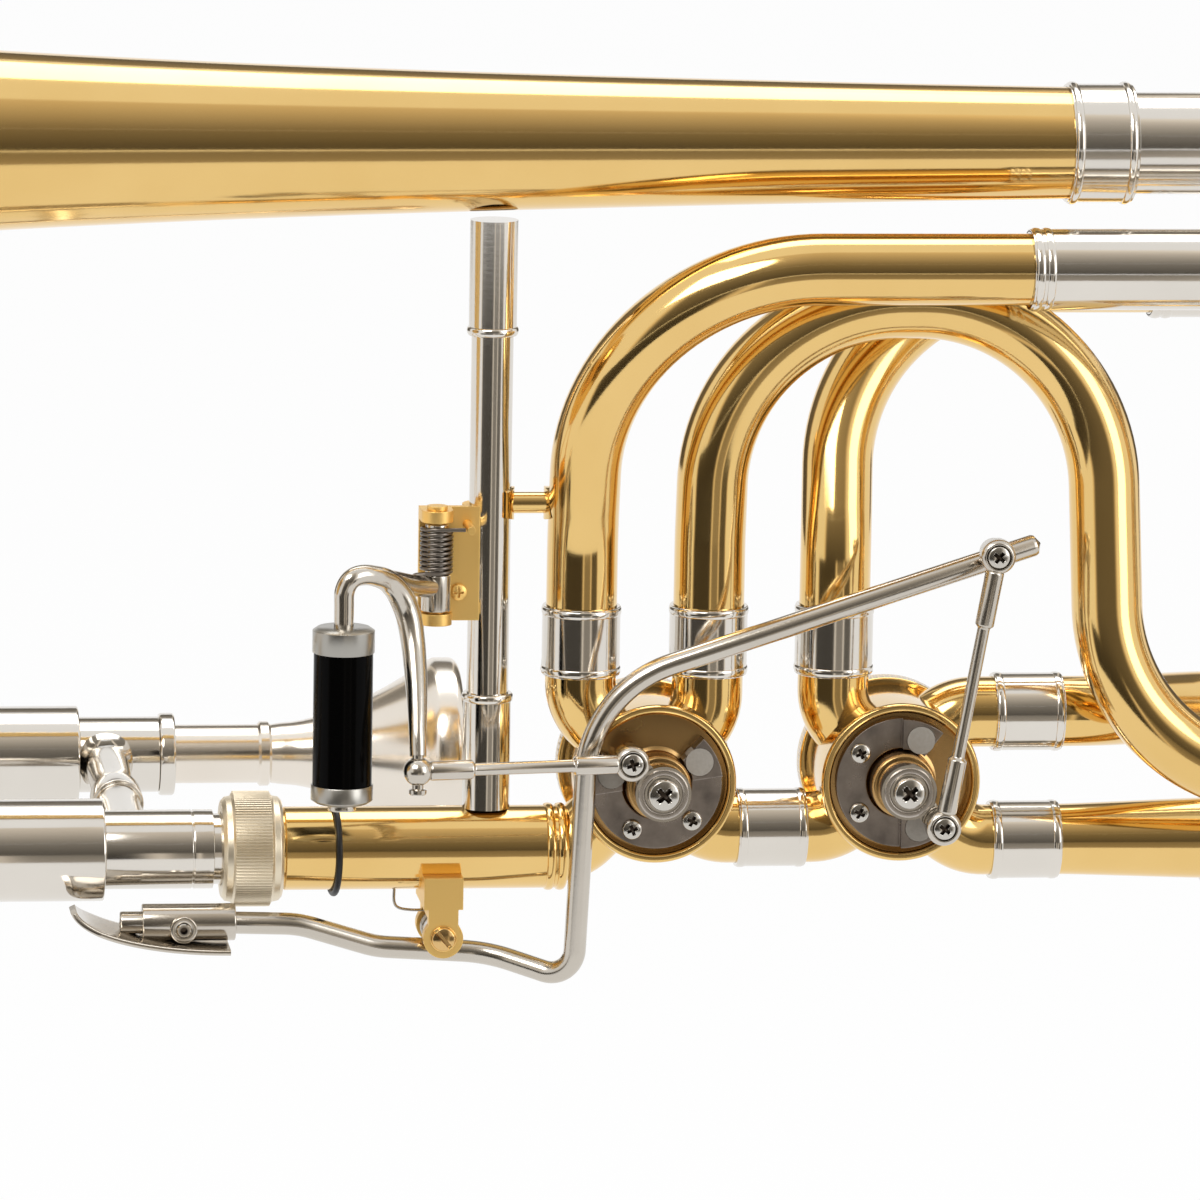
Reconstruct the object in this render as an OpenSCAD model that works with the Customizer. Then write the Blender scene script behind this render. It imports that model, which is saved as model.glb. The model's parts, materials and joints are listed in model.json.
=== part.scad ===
// Bass trombone with two independent rotary valves, a hand slide and a mouthpiece.
// X runs along the instrument, the bell rim and the slide crook at -X and the tuning bows at +X.
// Z is up, from the slide receiver to the bell. The player's left hand holds the hand brace,
// whose axis is Z through the origin.

/* [Main layout] */
// Height of the bell's axis above the middle of the hand brace
bell_z = 78; // [76:0.5:90]
// Drop of the slide receiver's axis below the middle of the hand brace
receiver_drop = 75; // [72:0.5:80]
// Distance from the hand brace to the first valve's axis
valve_x = 35.3; // [34:0.1:40]
// Distance between the axes of the two valves
valve_pitch = 53; // [52:0.5:60]
// Height of the valve axes above the receiver's axis
valve_rise = 16.2; // [15.8:0.1:17]
// Depth at which the F loop runs in front of the main plane
f_loop_depth = 21; // [20.5:0.5:26]
// Depth at which the G flat loop runs behind the main plane
g_loop_depth = 21; // [20.5:0.5:26]

/* [Tubing] */
// Bore of the valve section
bore_d = 14.3; // [13.5:0.1:14.5]
// Wall of every drawn tube
tube_wall = 0.5; // [0.4:0.05:0.6]
// Wall of the nickel sleeves and ferrules
sleeve_wall = 0.6; // [0.5:0.05:1]
// Radial clearance of sliding tubes and turning spindles
fit = 0.05; // [0.03:0.01:0.08]
// Length of the ferrules at the valve ports
ferrule_len = 15; // [12:0.5:16]
// Height of the raised beads on ferrules and sleeves
bead_h = 0.45; // [0.3:0.05:0.6]
// Width of those beads
bead_w = 1.6; // [1.2:0.1:2]

/* [Bell] */
// Diameter of the bell's rim
bell_rim_d = 241; // [220:1:260]
// Distance from the hand brace to the rim
bell_rim_x = 335; // [320:1:360]
// Outer diameter of the bell's small end
bell_stem_d = 24; // [23:0.5:26]
// Length over which the flare opens
flare_len = 34; // [28:1:40]
// Wall of the bell
bell_wall = 0.7; // [0.5:0.05:1]
// Diameter of the wire rolled into the rim
rim_wire_d = 4.6; // [3.5:0.1:6]

/* [Main tuning slide] */
// Distance from the hand brace to the end of the outer tubes
main_sleeve_end = 215; // [205:1:230]
// Length of the upper outer tube
main_upper_len = 92; // [80:1:96]
// Length of the lower outer tube
main_lower_len = 58; // [50:1:62]
// Outer diameter of the upper inner leg
main_upper_leg_d = 20.6; // [20:0.1:21]
// Outer diameter of the lower inner leg
main_lower_leg_d = 17.6; // [17:0.1:18.4]
// Outer diameter of the bow
main_bow_d = 19; // [18:0.1:19.4]
// Length of leg that shows between the outer tubes and the bow
main_gap = 14; // [8:1:20]

/* [Valve loops] */
// Height of the upper F tube above the middle of the hand brace
f_upper_z = 53.5; // [50:0.5:56]
// Drop of the lower F tube below the middle of the hand brace
f_lower_drop = 57; // [55:0.5:58]
// Bend radius of the upper F tube
f_upper_bend = 48; // [40:1:50]
// Bend radius of the lower end of the F arch
f_lower_bend = 38; // [30:1:40]
// Distance from the hand brace to the end of the F outer tubes
f_sleeve_end = 262; // [250:1:275]
// Distance from the hand brace to the start of the F bow
f_bow_x = 280; // [278:1:290]
// Height of the upper G flat tube above the middle of the hand brace
g_upper_z = 46; // [44:0.5:50]
// Drop of the lower G flat tube below the middle of the hand brace
g_lower_drop = 49; // [46:0.5:52]
// Bend radius of the upper G flat tube
g_upper_bend = 44; // [38:1:46]
// Distance from the hand brace to the end of the G flat outer tubes
g_sleeve_end = 284; // [270:1:290]
// Distance from the hand brace to the start of the G flat bow
g_bow_x = 300; // [296:1:310]

/* [Valves] */
// Outer diameter of a valve casing
casing_d = 34.6; // [34:0.1:36]
// Diameter of a rotor
rotor_d = 30.5; // [30:0.1:30.8]
// Length of a rotor
rotor_len = 18; // [17.5:0.1:18.4]
// Diameter of the rotor's spindle
spindle_d = 8; // [7:0.1:8.4]
// Outer diameter of the casing's front boss
boss_d = 14; // [13:0.1:14.4]
// Distance from a rotor's axis to the pivot of its stop arm
arm_r = 10.2; // [9.8:0.1:10.6]
// Diameter of the stop arm's hub
hub_d = 12; // [11:0.1:12.4]
// Diameter of the eye of a stop arm
eye_d = 7.5; // [6.8:0.1:8]
// Diameter of a rubber bumper
bumper_d = 6; // [5.6:0.1:6]
// Outer diameter of the rear caps
cap_d = 37.6; // [37:0.1:39]

/* [Hand brace and levers] */
// Diameter of the hand brace's middle tube
brace_d = 9; // [8:0.1:9.4]
// Diameter of the thumb lever's rod
thumb_rod_d = 4; // [3.6:0.1:4.4]
// Diameter of the thumb roller
roller_d = 13.2; // [12:0.1:14]
// Length of the thumb roller
roller_len = 38; // [34:0.5:39]
// Diameter of the second lever's rod
rod_2_d = 4.8; // [4.4:0.1:5]
// Diameter of the thin middle of a link
link_d = 2.7; // [2.4:0.1:3]
// Diameter of the thick ends of a link
link_end_d = 4.1; // [3.8:0.1:4.3]

/* [Hand slide] */
// Distance between the two slide tubes
slide_pitch = 90; // [86:1:94]
// Turn of the slide about its near tube, in degrees, which lifts the mouthpiece
slide_roll = 2; // [0:0.5:3]
// Length of the inner slide tubes
inner_slide_len = 720; // [700:5:740]
// Distance from the ends of the inner slide tubes to the slide crook
crook_gap = 18; // [12:1:26]
// Outer diameter of the cork barrels
barrel_d = 22; // [21:0.1:22.6]
// Length of the cork barrels
barrel_len = 58; // [50:1:62]

/* [Mouthpiece] */
// Diameter of the mouthpiece's rim
mouthpiece_rim_d = 43; // [39:0.5:44]
// Inner diameter of the rim
mouthpiece_cup_d = 28; // [26:0.5:29]
// Depth of the cup
cup_depth = 26; // [22:0.5:28]

/* [Springs] */
// Wire of the springs
spring_wire = 0.6; // [0.5:0.05:0.7]
// Gap between the turns of the springs
spring_gap = 0.45; // [0.42:0.01:0.5]

/* [Hidden] */
$fn = 48;

// Derived tube sizes
tube_d = bore_d + 2 * tube_wall;
sleeve_d = tube_d + 2 * sleeve_wall + 2 * fit;
seat = 0.02;

// Derived places of the main line
receiver_z = -receiver_drop;
valve_z = receiver_z + valve_rise;
return_rise = 0.7;
return_z = receiver_z + return_rise;
valve_2_x = valve_x + valve_pitch;

// Offsets of the port tubes from the valve axes
leg_a_off = 15.2;
leg_b_off = 12.4;
leg_c_off = 13.2;
line_d_off = 12.8;
mid_off = 12.4;
out_off = valve_z - return_z;
port_reach = 21.7;
elbow_bend = 12;
knuckle_bend = 9;

// Stations of a valve along Y, the front being negative
casing_front = -14.4;
casing_floor = -11.4;
casing_back = 11.5;
floor_t = 2.1;
boss_front = -18.2;
plate_t = 2.4;
wing_front = -15.6;
hub_back = -18.5;
hub_front = -25;
eye_back = -21.6;
link_back = -25.4;
link_y = -27.4;
bumper_r = 10.3;
bumper_angle = 68;
open_half = 52;
turn_valve_1 = 98;
turn_valve_2 = 0;

// Pivots of the levers
thumb_hinge = [-12.2, -8];
thumb_ball = [-18.3, -34];
arm_1_angle = 135;
arm_2_angle = -45;
link_1_z = valve_z + arm_r * sin(arm_1_angle);
lever_2_pivot = [-10.1, -92.5];
lever_2_joint = [105.8, -7.2];
rod_2_y = -21;

// Hand slide sizes
inner_slide_d = bore_d + 0.9;
outer_slide_id = inner_slide_d + 2 * fit;
outer_slide_d = outer_slide_id + 1;
nut_x0 = -57.2;
nut_x1 = -44.2;
collar_x1 = -59;
barrel_x1 = -82.4;
slide_brace_x = -76.5;

// Vector helpers
function unit(v) = v / norm(v);
function dir(a, b) = unit(b - a);
function turn(p, i) = acos(min(1, max(-1, dir(p[i - 1], p[i]) * dir(p[i], p[i + 1]))));
function trim(p, r, i) = (i == 0 || i == len(p) - 1) ? 0 : r[i] * tan(turn(p, i) / 2);
function side(d) = abs(d[2]) < 0.9 ? unit(cross(d, [0, 0, 1])) : unit(cross(d, [0, 1, 0]));

// Puts children with their own axes x, y and z at the point o
module place(o, x, y, z) multmatrix([
    [x[0], y[0], z[0], o[0]],
    [x[1], y[1], z[1], o[1]],
    [x[2], y[2], z[2], o[2]],
    [0, 0, 0, 1]]) children();

module along_x() rotate([0, 90, 0]) children();
module along_y() rotate([-90, 0, 0]) children();

// Sweeps a round tube, or a rod where id is 0, along straight lines joined by arcs. The straight
// ends reach a little into the arcs, which are thicker by a hair, so that the pieces join cleanly.
lap = 0.3;
hair = 0.1;
module ring(od, id) difference() {
    circle(d = od);
    if (id > 0) circle(d = id);
}
module run(p, r, od, id = 0) {
    for (i = [0 : len(p) - 2]) {
        d = dir(p[i], p[i + 1]);
        a = p[i] + d * (i == 0 ? 0 : trim(p, r, i) - lap);
        b = p[i + 1] - d * (i == len(p) - 2 ? 0 : trim(p, r, i + 1) - lap);
        x = side(d);
        place(a, x, cross(d, x), d) linear_extrude(norm(b - a)) ring(od, id);
    }
    for (i = [1 : 1 : len(p) - 2]) {
        d = dir(p[i - 1], p[i]);
        e = dir(p[i], p[i + 1]);
        n = unit(e - (d * e) * d);
        c = p[i] - d * trim(p, r, i) + n * r[i];
        place(c, -n, d, cross(-n, d)) rotate_extrude(angle = turn(p, i))
            translate([r[i], 0]) ring(od + 2 * hair, id > 0 ? id - 2 * hair : 0);
    }
}

module tube(p, r, od = tube_d, id = bore_d) run(p, r, od, id);
module rod(p, r, d) run(p, r, d);

// Half round bow that starts at x0 and opens to -X, in an upright plane
module bow(x0, y, z0, z1, od, id) translate([x0, y, (z0 + z1) / 2]) rotate([90, 0, 0])
    rotate([0, 0, -90]) rotate_extrude(angle = 180) translate([(z1 - z0) / 2, 0]) ring(od, id);

// A sleeve along +Z with a raised bead at each end
module sleeve(length, od, id, low = true, high = true) rotate_extrude() difference() {
    union() {
        translate([id / 2, 0]) square([(od - id) / 2, length]);
        if (low) translate([od / 2 + bead_h - bead_w / 2, bead_w / 2]) circle(d = bead_w);
        if (high) translate([od / 2 + bead_h - bead_w / 2, length - bead_w / 2]) circle(d = bead_w);
    }
    square([id / 2, length]);
}

// A turned solid along +Z, from pairs of height and radius
module turned(p) rotate_extrude() polygon([for (q = p) [q[1], q[0]]]);

// A screw head along +Z with a domed top and a cross slot
module cross_head(d, h) difference() {
    intersection() {
        cylinder(d = d, h = h);
        translate([0, 0, h - d]) sphere(r = d);
    }
    for (a = [0, 90]) rotate(a) translate([-d * 0.3, -d * 0.06, h * 0.45]) cube([d * 0.6, d * 0.12, h]);
}

// Places its children at a valve's axis, with Z along the world's -Y so that the front is up
module valve_front(x) translate([x, 0, valve_z]) rotate([90, 0, 0]) children();

// Places its children in the hand slide's own frame, with the near tube on X and the far at +Y
module slide_frame() translate([0, 0, receiver_z]) rotate([slide_roll, 0, 0]) children();

// Radius of the bell at a distance from the rim
bell_len = bell_rim_x + 125;
function flare(s) = flare_len / (s + flare_len);
function bell_r(s) = bell_stem_d / 2
    + (bell_rim_d - bell_stem_d) / 2 * (flare(s) - flare(bell_len)) / (1 - flare(bell_len));
bell_steps = 26;
bell_stations = [for (i = [0 : bell_steps]) bell_len * pow(i / bell_steps, 2.2)];

module bell() color("gold") translate([-bell_rim_x, 0, bell_z]) along_x() {
    rotate_extrude() union() {
        polygon(concat(
            [for (s = bell_stations) [bell_r(s), s]],
            [for (i = [bell_steps : -1 : 0]) [bell_r(bell_stations[i]) - bell_wall, bell_stations[i]]]));
        translate([bell_rim_d / 2, rim_wire_d * 0.1]) circle(d = rim_wire_d);
    }
}

// Outer tubes of the main tuning slide, the upper with the ferrule that takes the bell
main_upper_d = main_upper_leg_d + 2 * fit + 2 * sleeve_wall;
main_lower_d = main_lower_leg_d + 2 * fit + 2 * sleeve_wall;
module main_slide_sleeves() color("silver") {
    translate([main_sleeve_end - main_upper_len, 0, bell_z]) along_x() {
        sleeve(main_upper_len, main_upper_d, main_upper_leg_d + 2 * fit, false, true);
        sleeve(14, bell_stem_d + 2 * seat + 1.3, bell_stem_d + 2 * seat + 0.1, true, false);
        translate([0, 0, 2.2]) rotate_extrude() translate([main_upper_d / 2 - 0.3, 0])
            square([(bell_stem_d - main_upper_d) / 2 + 0.6, 1.5]);
    }
    translate([main_sleeve_end - main_lower_len, 0, return_z]) along_x()
        sleeve(main_lower_len, main_lower_d, main_lower_leg_d + 2 * fit);
}

// Conical tube from the second valve to the main tuning slide
return_x0 = valve_2_x + port_reach + ferrule_len / 2;
return_x1 = main_sleeve_end - main_lower_len;
module return_tube() color("gold") translate([return_x0, 0, return_z]) along_x() difference() {
    union() {
        cylinder(d = tube_d, h = ferrule_len / 2 + 1);
        translate([0, 0, ferrule_len / 2 + 1])
            cylinder(d1 = tube_d, d2 = main_lower_leg_d, h = return_x1 - return_x0 - ferrule_len / 2 - 1);
        translate([0, 0, return_x1 - return_x0]) cylinder(d = main_lower_leg_d, h = 8);
    }
    translate([0, 0, -1]) cylinder(d = bore_d, h = return_x1 - return_x0 + 12);
}

// Receiver that takes the hand slide, with its two beads
receiver_x0 = nut_x1 + 0.4;
receiver_x1 = 17.2;
receiver_d = 18;
thread_d = 16.4;
module slide_receiver() color("gold") difference() {
    translate([0, 0, receiver_z]) along_x() rotate_extrude() difference() {
        union() {
            translate([0, receiver_x0]) square([receiver_d / 2, receiver_x1 - receiver_x0]);
            translate([0, receiver_x0 - 9]) square([thread_d / 2, 10]);
            for (x = [receiver_x1 - 0.9, receiver_x1 - 3.4])
                translate([receiver_d / 2 - 0.4, x]) circle(d = 1.8);
        }
        translate([0, receiver_x0 - 10]) square([tube_d / 2 + seat, receiver_x1 - receiver_x0 + 20]);
        translate([0, receiver_x1 - 2]) square([tube_d / 2 + 0.3, 3]);
    }
    translate([valve_x - valve_rise, 0, receiver_z]) rotate([0, 45, 0]) cylinder(d = tube_d + 0.54, h = 20);
}

// Valve casing with its bored ports, front wall and spindle boss
module casing() difference() {
    union() {
        translate([0, 0, -casing_back]) cylinder(d = casing_d, h = casing_back - casing_front);
        translate([0, 0, -casing_floor]) cylinder(d = boss_d, h = casing_floor - boss_front);
    }
    translate([0, 0, -casing_back - 1]) cylinder(d = rotor_d + 2 * fit, h = casing_back + 1 - casing_floor - floor_t);
    translate([0, 0, -casing_floor]) difference() {
        cylinder(d = rotor_d, h = 10);
        cylinder(d = boss_d, h = 10);
    }
    cylinder(d = spindle_d + 2 * fit, h = 40);
    for (a = [45 : 90 : 315]) rotate([0, 90, a]) cylinder(d = bore_d, h = casing_d);
}
module valve_casings() color("goldenrod") for (x = [valve_x, valve_2_x]) valve_front(x) casing();

// Threaded caps behind the casings
cap_back = 14.2;
cap_front = 8.4;
module valve_caps() color("tan") for (x = [valve_x, valve_2_x]) valve_front(x) difference() {
    translate([0, 0, -cap_back]) union() {
        translate([0, 0, 1]) cylinder(d = cap_d, h = cap_back - cap_front - 1);
        cylinder(d1 = cap_d - 2, d2 = cap_d, h = 1);
    }
    translate([0, 0, -casing_back - 0.2]) cylinder(d = casing_d + 2 * seat, h = 10);
}

// Rear bearing plates under the caps
module rear_bearings() color("khaki") for (x = [valve_x, valve_2_x]) valve_front(x)
    translate([0, 0, -casing_back]) difference() {
        cylinder(d = rotor_d + 2 * fit - 2 * seat, h = casing_back - rotor_len / 2 - 0.3);
        cylinder(d = spindle_d + 2 * fit, h = 10);
    }

// Stop plate with its two raised wings, that open towards +X before it is turned
module sector(r, a0, a1) polygon(concat([[0, 0]], [for (i = [0 : 6]) r * [cos(a0 + (a1 - a0) * i / 6), sin(a0 + (a1 - a0) * i / 6)]]));
plate_in = boss_d / 2 + 0.6;
plate_out = rotor_d / 2 - 1.2;
wing_end = 90;
screw_r = 11.1;
module stop_plate() difference() {
    union() {
        linear_extrude(plate_t) difference() {
            circle(r = plate_out);
            circle(r = plate_in);
            sector(40, -open_half, open_half);
        }
        for (m = [0, 1]) mirror([0, m, 0]) linear_extrude(casing_floor - wing_front) difference() {
            intersection() {
                circle(r = plate_out);
                sector(40, open_half, wing_end);
            }
            circle(r = plate_in);
        }
    }
    for (a = [-bumper_angle, bumper_angle]) rotate(a) translate([bumper_r, 0, 0.8]) cylinder(d = bumper_d + 2 * seat, h = 10);
    for (a = [144, 216]) rotate(a) translate([screw_r, 0, -1]) cylinder(d = 2.1, h = 10);
}
module at_plate(x, a) valve_front(x) translate([0, 0, -casing_floor]) rotate(a) children();
module each_plate() {
    at_plate(valve_x, turn_valve_1) children();
    at_plate(valve_2_x, turn_valve_2) children();
}
module stop_plates() color("lightgray") each_plate() stop_plate();
module stop_bumpers() color("white") each_plate()
    for (a = [-bumper_angle, bumper_angle]) rotate(a) translate([bumper_r, 0, 0.82])
        cylinder(d = bumper_d, h = casing_floor - wing_front - 0.6);
module stop_plate_screws() color("silver") each_plate()
    for (a = [144, 216]) rotate(a) translate([screw_r, 0, 0.2]) {
        cylinder(d = 2, h = plate_t);
        translate([0, 0, plate_t - 0.2]) cross_head(4.4, 1.3);
    }

// Elbow from a casing, first along a diagonal and then along X or Z
module elbow(x, u, w, off, reach, upright, bend = elbow_bend) difference() {
    o = [x, 0, valve_z];
    corner = o + off * [u, 0, w];
    end = upright ? o + [u * off, 0, w * reach] : o + [u * reach, 0, w * off];
    tube([o + unit([u, 0, w]) * 11, corner, end], [0, bend, 0]);
    translate([x, -20, valve_z]) along_y() cylinder(d = casing_d + 2 * seat, h = 40);
}
half_reach = port_reach + ferrule_len / 2 - seat / 2;
module valve_elbows() color("gold") {
    elbow(valve_x, -1, 1, leg_a_off, half_reach, true);
    elbow(valve_x, 1, 1, leg_b_off, half_reach, true);
    elbow(valve_x, 1, -1, mid_off, valve_pitch / 2 - seat / 2, false);
    elbow(valve_x, -1, -1, valve_rise, valve_x - receiver_x1 + 16, false, knuckle_bend);
    elbow(valve_2_x, -1, 1, leg_c_off, half_reach, true);
    elbow(valve_2_x, 1, 1, line_d_off, half_reach, false);
    elbow(valve_2_x, -1, -1, mid_off, valve_pitch / 2 - seat / 2, false);
    elbow(valve_2_x, 1, -1, out_off, half_reach, false);
}

// Ferrules over the joints beside the valves
module ferrule() sleeve(ferrule_len, sleeve_d, tube_d + 2 * seat);
leg_a_x = valve_x - leg_a_off;
leg_b_x = valve_x + leg_b_off;
leg_c_x = valve_2_x - leg_c_off;
line_d_z = valve_z + line_d_off;
leg_z = valve_z + port_reach + ferrule_len / 2;
module port_ferrules() color("silver") {
    for (x = [leg_a_x, leg_b_x, leg_c_x]) translate([x, 0, valve_z + port_reach]) ferrule();
    for (z = [line_d_z, return_z]) translate([valve_2_x + port_reach, 0, z]) along_x() ferrule();
    translate([valve_x + valve_pitch / 2 - ferrule_len / 2, 0, valve_z - mid_off]) along_x() ferrule();
}

// Upper tube of the F loop, which leans forward to the loop's plane
f_y = -f_loop_depth;
f_lower_z = -f_lower_drop;
f_upper_x1 = 112;
module f_upper_tube() color("gold") tube([
    [leg_a_x, 0, leg_z], [leg_a_x, 0, -6], [leg_a_x - 1, f_y, f_upper_z],
    [f_upper_x1 + 8, f_y, f_upper_z]], [0, 40, f_upper_bend, 0]);

// Arch of the F loop, from the first valve over and down to the loop's lower tube
arch_y = -4;
arch_z = 44;
arch_x1 = leg_b_x + 83;
arch_r = 40;
f_lower_x0 = 172;
module f_arch_tube() color("gold") tube([
    [leg_b_x, 0, leg_z], [leg_b_x, 0, -8], [leg_b_x + 0.5, arch_y, arch_z],
    [arch_x1, arch_y, arch_z], [arch_x1 + 2, f_y, f_lower_z], [f_lower_x0 + 8, f_y, f_lower_z]],
    [0, 40, arch_r, arch_r, f_lower_bend, 0]);

// Upper tube of the G flat loop, which leans back behind the F arch
g_y = g_loop_depth;
g_lower_z = -g_lower_drop;
g_upper_x1 = 146;
module g_upper_tube() color("gold") tube([
    [leg_c_x, 0, leg_z], [leg_c_x, 0, -8], [leg_c_x + 3, g_y, g_upper_z],
    [g_upper_x1 + 8, g_y, g_upper_z]], [0, 30, g_upper_bend, 0]);

// Lower tube of the G flat loop
g_lower_x0 = 172;
module g_lower_tube() color("gold") tube([
    [valve_2_x + half_reach + seat, 0, line_d_z], [valve_2_x + half_reach + 16, 0, line_d_z],
    [g_lower_x0 - 12, g_y, g_lower_z], [g_lower_x0 + 8, g_y, g_lower_z]], [0, 24, 24, 0]);

// Outer tubes of the two valve tuning slides
leg_d = tube_d + 0.7;
loop_sleeve_d = leg_d + 2 * fit + 2 * sleeve_wall;
module loop_sleeve(x0, x1, y, z) translate([x0, y, z]) along_x() {
    sleeve(x1 - x0, loop_sleeve_d, leg_d + 2 * fit);
    sleeve(9, loop_sleeve_d, tube_d + 2 * seat, false, false);
}
module f_slide_sleeves() color("silver") {
    loop_sleeve(f_upper_x1, f_sleeve_end, f_y, f_upper_z);
    loop_sleeve(f_lower_x0, f_sleeve_end, f_y, f_lower_z);
}
module g_slide_sleeves() color("silver") {
    loop_sleeve(g_upper_x1, g_sleeve_end, g_y, g_upper_z);
    loop_sleeve(g_lower_x0, g_sleeve_end, g_y, g_lower_z);
}

// Bow of a valve tuning slide with its two legs and ferrules
module loop_bow(leg_x0, bow_x, y, z0, z1) {
    bow(bow_x, y, z0, z1, tube_d, bore_d);
    for (z = [z0, z1]) {
        translate([leg_x0, y, z]) along_x() difference() {
            cylinder(d = leg_d, h = bow_x - leg_x0);
            translate([0, 0, -1]) cylinder(d = bore_d, h = bow_x - leg_x0 + 2);
        }
        translate([bow_x - 7, y, z]) along_x() sleeve(14, loop_sleeve_d, leg_d);
    }
}
f_leg_x0 = 188;
g_leg_x0 = 205;
module f_tuning_bow() color("gold") loop_bow(f_leg_x0, f_bow_x, f_y, f_lower_z, f_upper_z);
module g_tuning_bow() color("gold") loop_bow(g_leg_x0, g_bow_x, g_y, g_lower_z, g_upper_z);

// Bow and legs of the main tuning slide, whose ferrules take the straight ends of the bow
bow_x = main_sleeve_end + main_gap;
bow_straight = 10;
module main_tuning_bow() color("gold") {
    bow(bow_x + bow_straight, 0, return_z, bell_z, main_bow_d + 2 * hair, main_bow_d - 2 * tube_wall - 2 * hair);
    for (z = [return_z, bell_z]) translate([bow_x, 0, z]) along_x() linear_extrude(bow_straight + lap)
        ring(main_bow_d, main_bow_d - 2 * tube_wall);
}
main_leg_in = main_lower_len - 10;
ferrule_back = 8;
ferrule_front = 9;
function main_ferrule_r(d) = max(d, main_bow_d) / 2 + sleeve_wall;
module main_leg(z, d) translate([main_sleeve_end - main_leg_in, 0, z]) along_x() rotate_extrude() difference() {
    l = main_leg_in + main_gap;
    f = main_ferrule_r(d);
    union() {
        square([d / 2, l]);
        translate([0, l - ferrule_back]) square([f, ferrule_back + ferrule_front]);
        for (h = [l - ferrule_back + bead_w / 2, l + ferrule_front - bead_w / 2])
            translate([f + bead_h - bead_w / 2, h]) circle(d = bead_w);
    }
    translate([0, -1]) square([d / 2 - tube_wall, l + 1]);
    translate([0, l - seat]) square([main_bow_d / 2 + seat, 20]);
}
module main_tuning_legs() color("silver") {
    main_leg(bell_z, main_upper_leg_d);
    main_leg(return_z, main_lower_leg_d);
    difference() {
        translate([bow_x + 4, 0, return_z]) cylinder(d = 7, h = bell_z - return_z);
        for (q = [[bell_z, main_upper_leg_d], [return_z, main_lower_leg_d]])
            translate([bow_x - 10, 0, q[0]]) along_x() cylinder(r = main_ferrule_r(q[1]) - 0.3, h = 30);
    }
}

// Hand brace between the bell and the receiver
brace_top = bell_z - bell_r(bell_rim_x) + 0.3;
brace_low = receiver_z + receiver_d / 2;
module hand_brace() color("silver") difference() {
    union() {
        translate([0, 0, brace_low - 3]) cylinder(d = brace_d, h = brace_top - brace_low + 6);
        translate([0, 0, brace_low - 3]) cylinder(d = brace_d + 1.3, h = 3 - 41 - brace_low);
        translate([0, 0, 36.5]) cylinder(d = brace_d + 1.3, h = brace_top - 36.5 + 3);
        for (z = [36.5, -41]) translate([0, 0, z]) rotate_extrude() translate([brace_d / 2 + 0.2, 0]) circle(d = 1.8);
    }
    translate([-20, 0, receiver_z]) along_x() cylinder(d = receiver_d + 2 * seat, h = 40);
    translate([-20, 0, bell_z]) along_x() cylinder(r1 = bell_r(bell_rim_x - 20) + seat, r2 = bell_r(bell_rim_x + 20) + seat, h = 40);
}

// Stay from the hand brace to the upper F tube, with a saddle at each end
stay_z = 0.2;
module brace_stay() color("gold") difference() {
    union() {
        translate([brace_d / 2 - 0.6, 0, stay_z]) along_x() cylinder(d = 4.6, h = leg_a_x - tube_d / 2 - brace_d / 2 + 2);
        for (q = [[0, brace_d + 1.4], [leg_a_x - 0.3, tube_d + 1.2]]) intersection() {
            translate([q[0], 0, stay_z - 7]) cylinder(d = q[1], h = 14);
            translate([q[0] - 20, 0, stay_z]) along_x() intersection() {
                translate([-8, 0, 0]) cylinder(r = 11.5, h = 40);
                translate([8, 0, 0]) cylinder(r = 11.5, h = 40);
            }
            translate([brace_d / 2 - 1.6, -20, stay_z - 20]) cube([leg_a_x - tube_d / 2 - brace_d / 2 + 4.2, 40, 40]);
        }
    }
    translate([0, 0, stay_z - 20]) cylinder(d = brace_d + 2 * seat, h = 40);
    run([[leg_a_x, 0, leg_z], [leg_a_x, 0, -6], [leg_a_x - 1, f_y, f_upper_z]], [0, 40, 0], tube_d + 2 * seat);
}

// Brace between the outer tubes of the main tuning slide
rear_brace_x = main_sleeve_end - 20;
module rear_brace() color("silver") difference() {
    union() {
        translate([rear_brace_x, 0, return_z]) cylinder(d = 8, h = bell_z - return_z);
        for (z = [return_z, bell_z - 14]) translate([rear_brace_x, 0, z]) cylinder(d = 11, h = 14);
    }
    translate([rear_brace_x - 20, 0, return_z]) along_x() cylinder(d = main_lower_d + 2 * seat, h = 40);
    translate([rear_brace_x - 20, 0, bell_z]) along_x() cylinder(d = main_upper_d + 2 * seat, h = 40);
}

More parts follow.
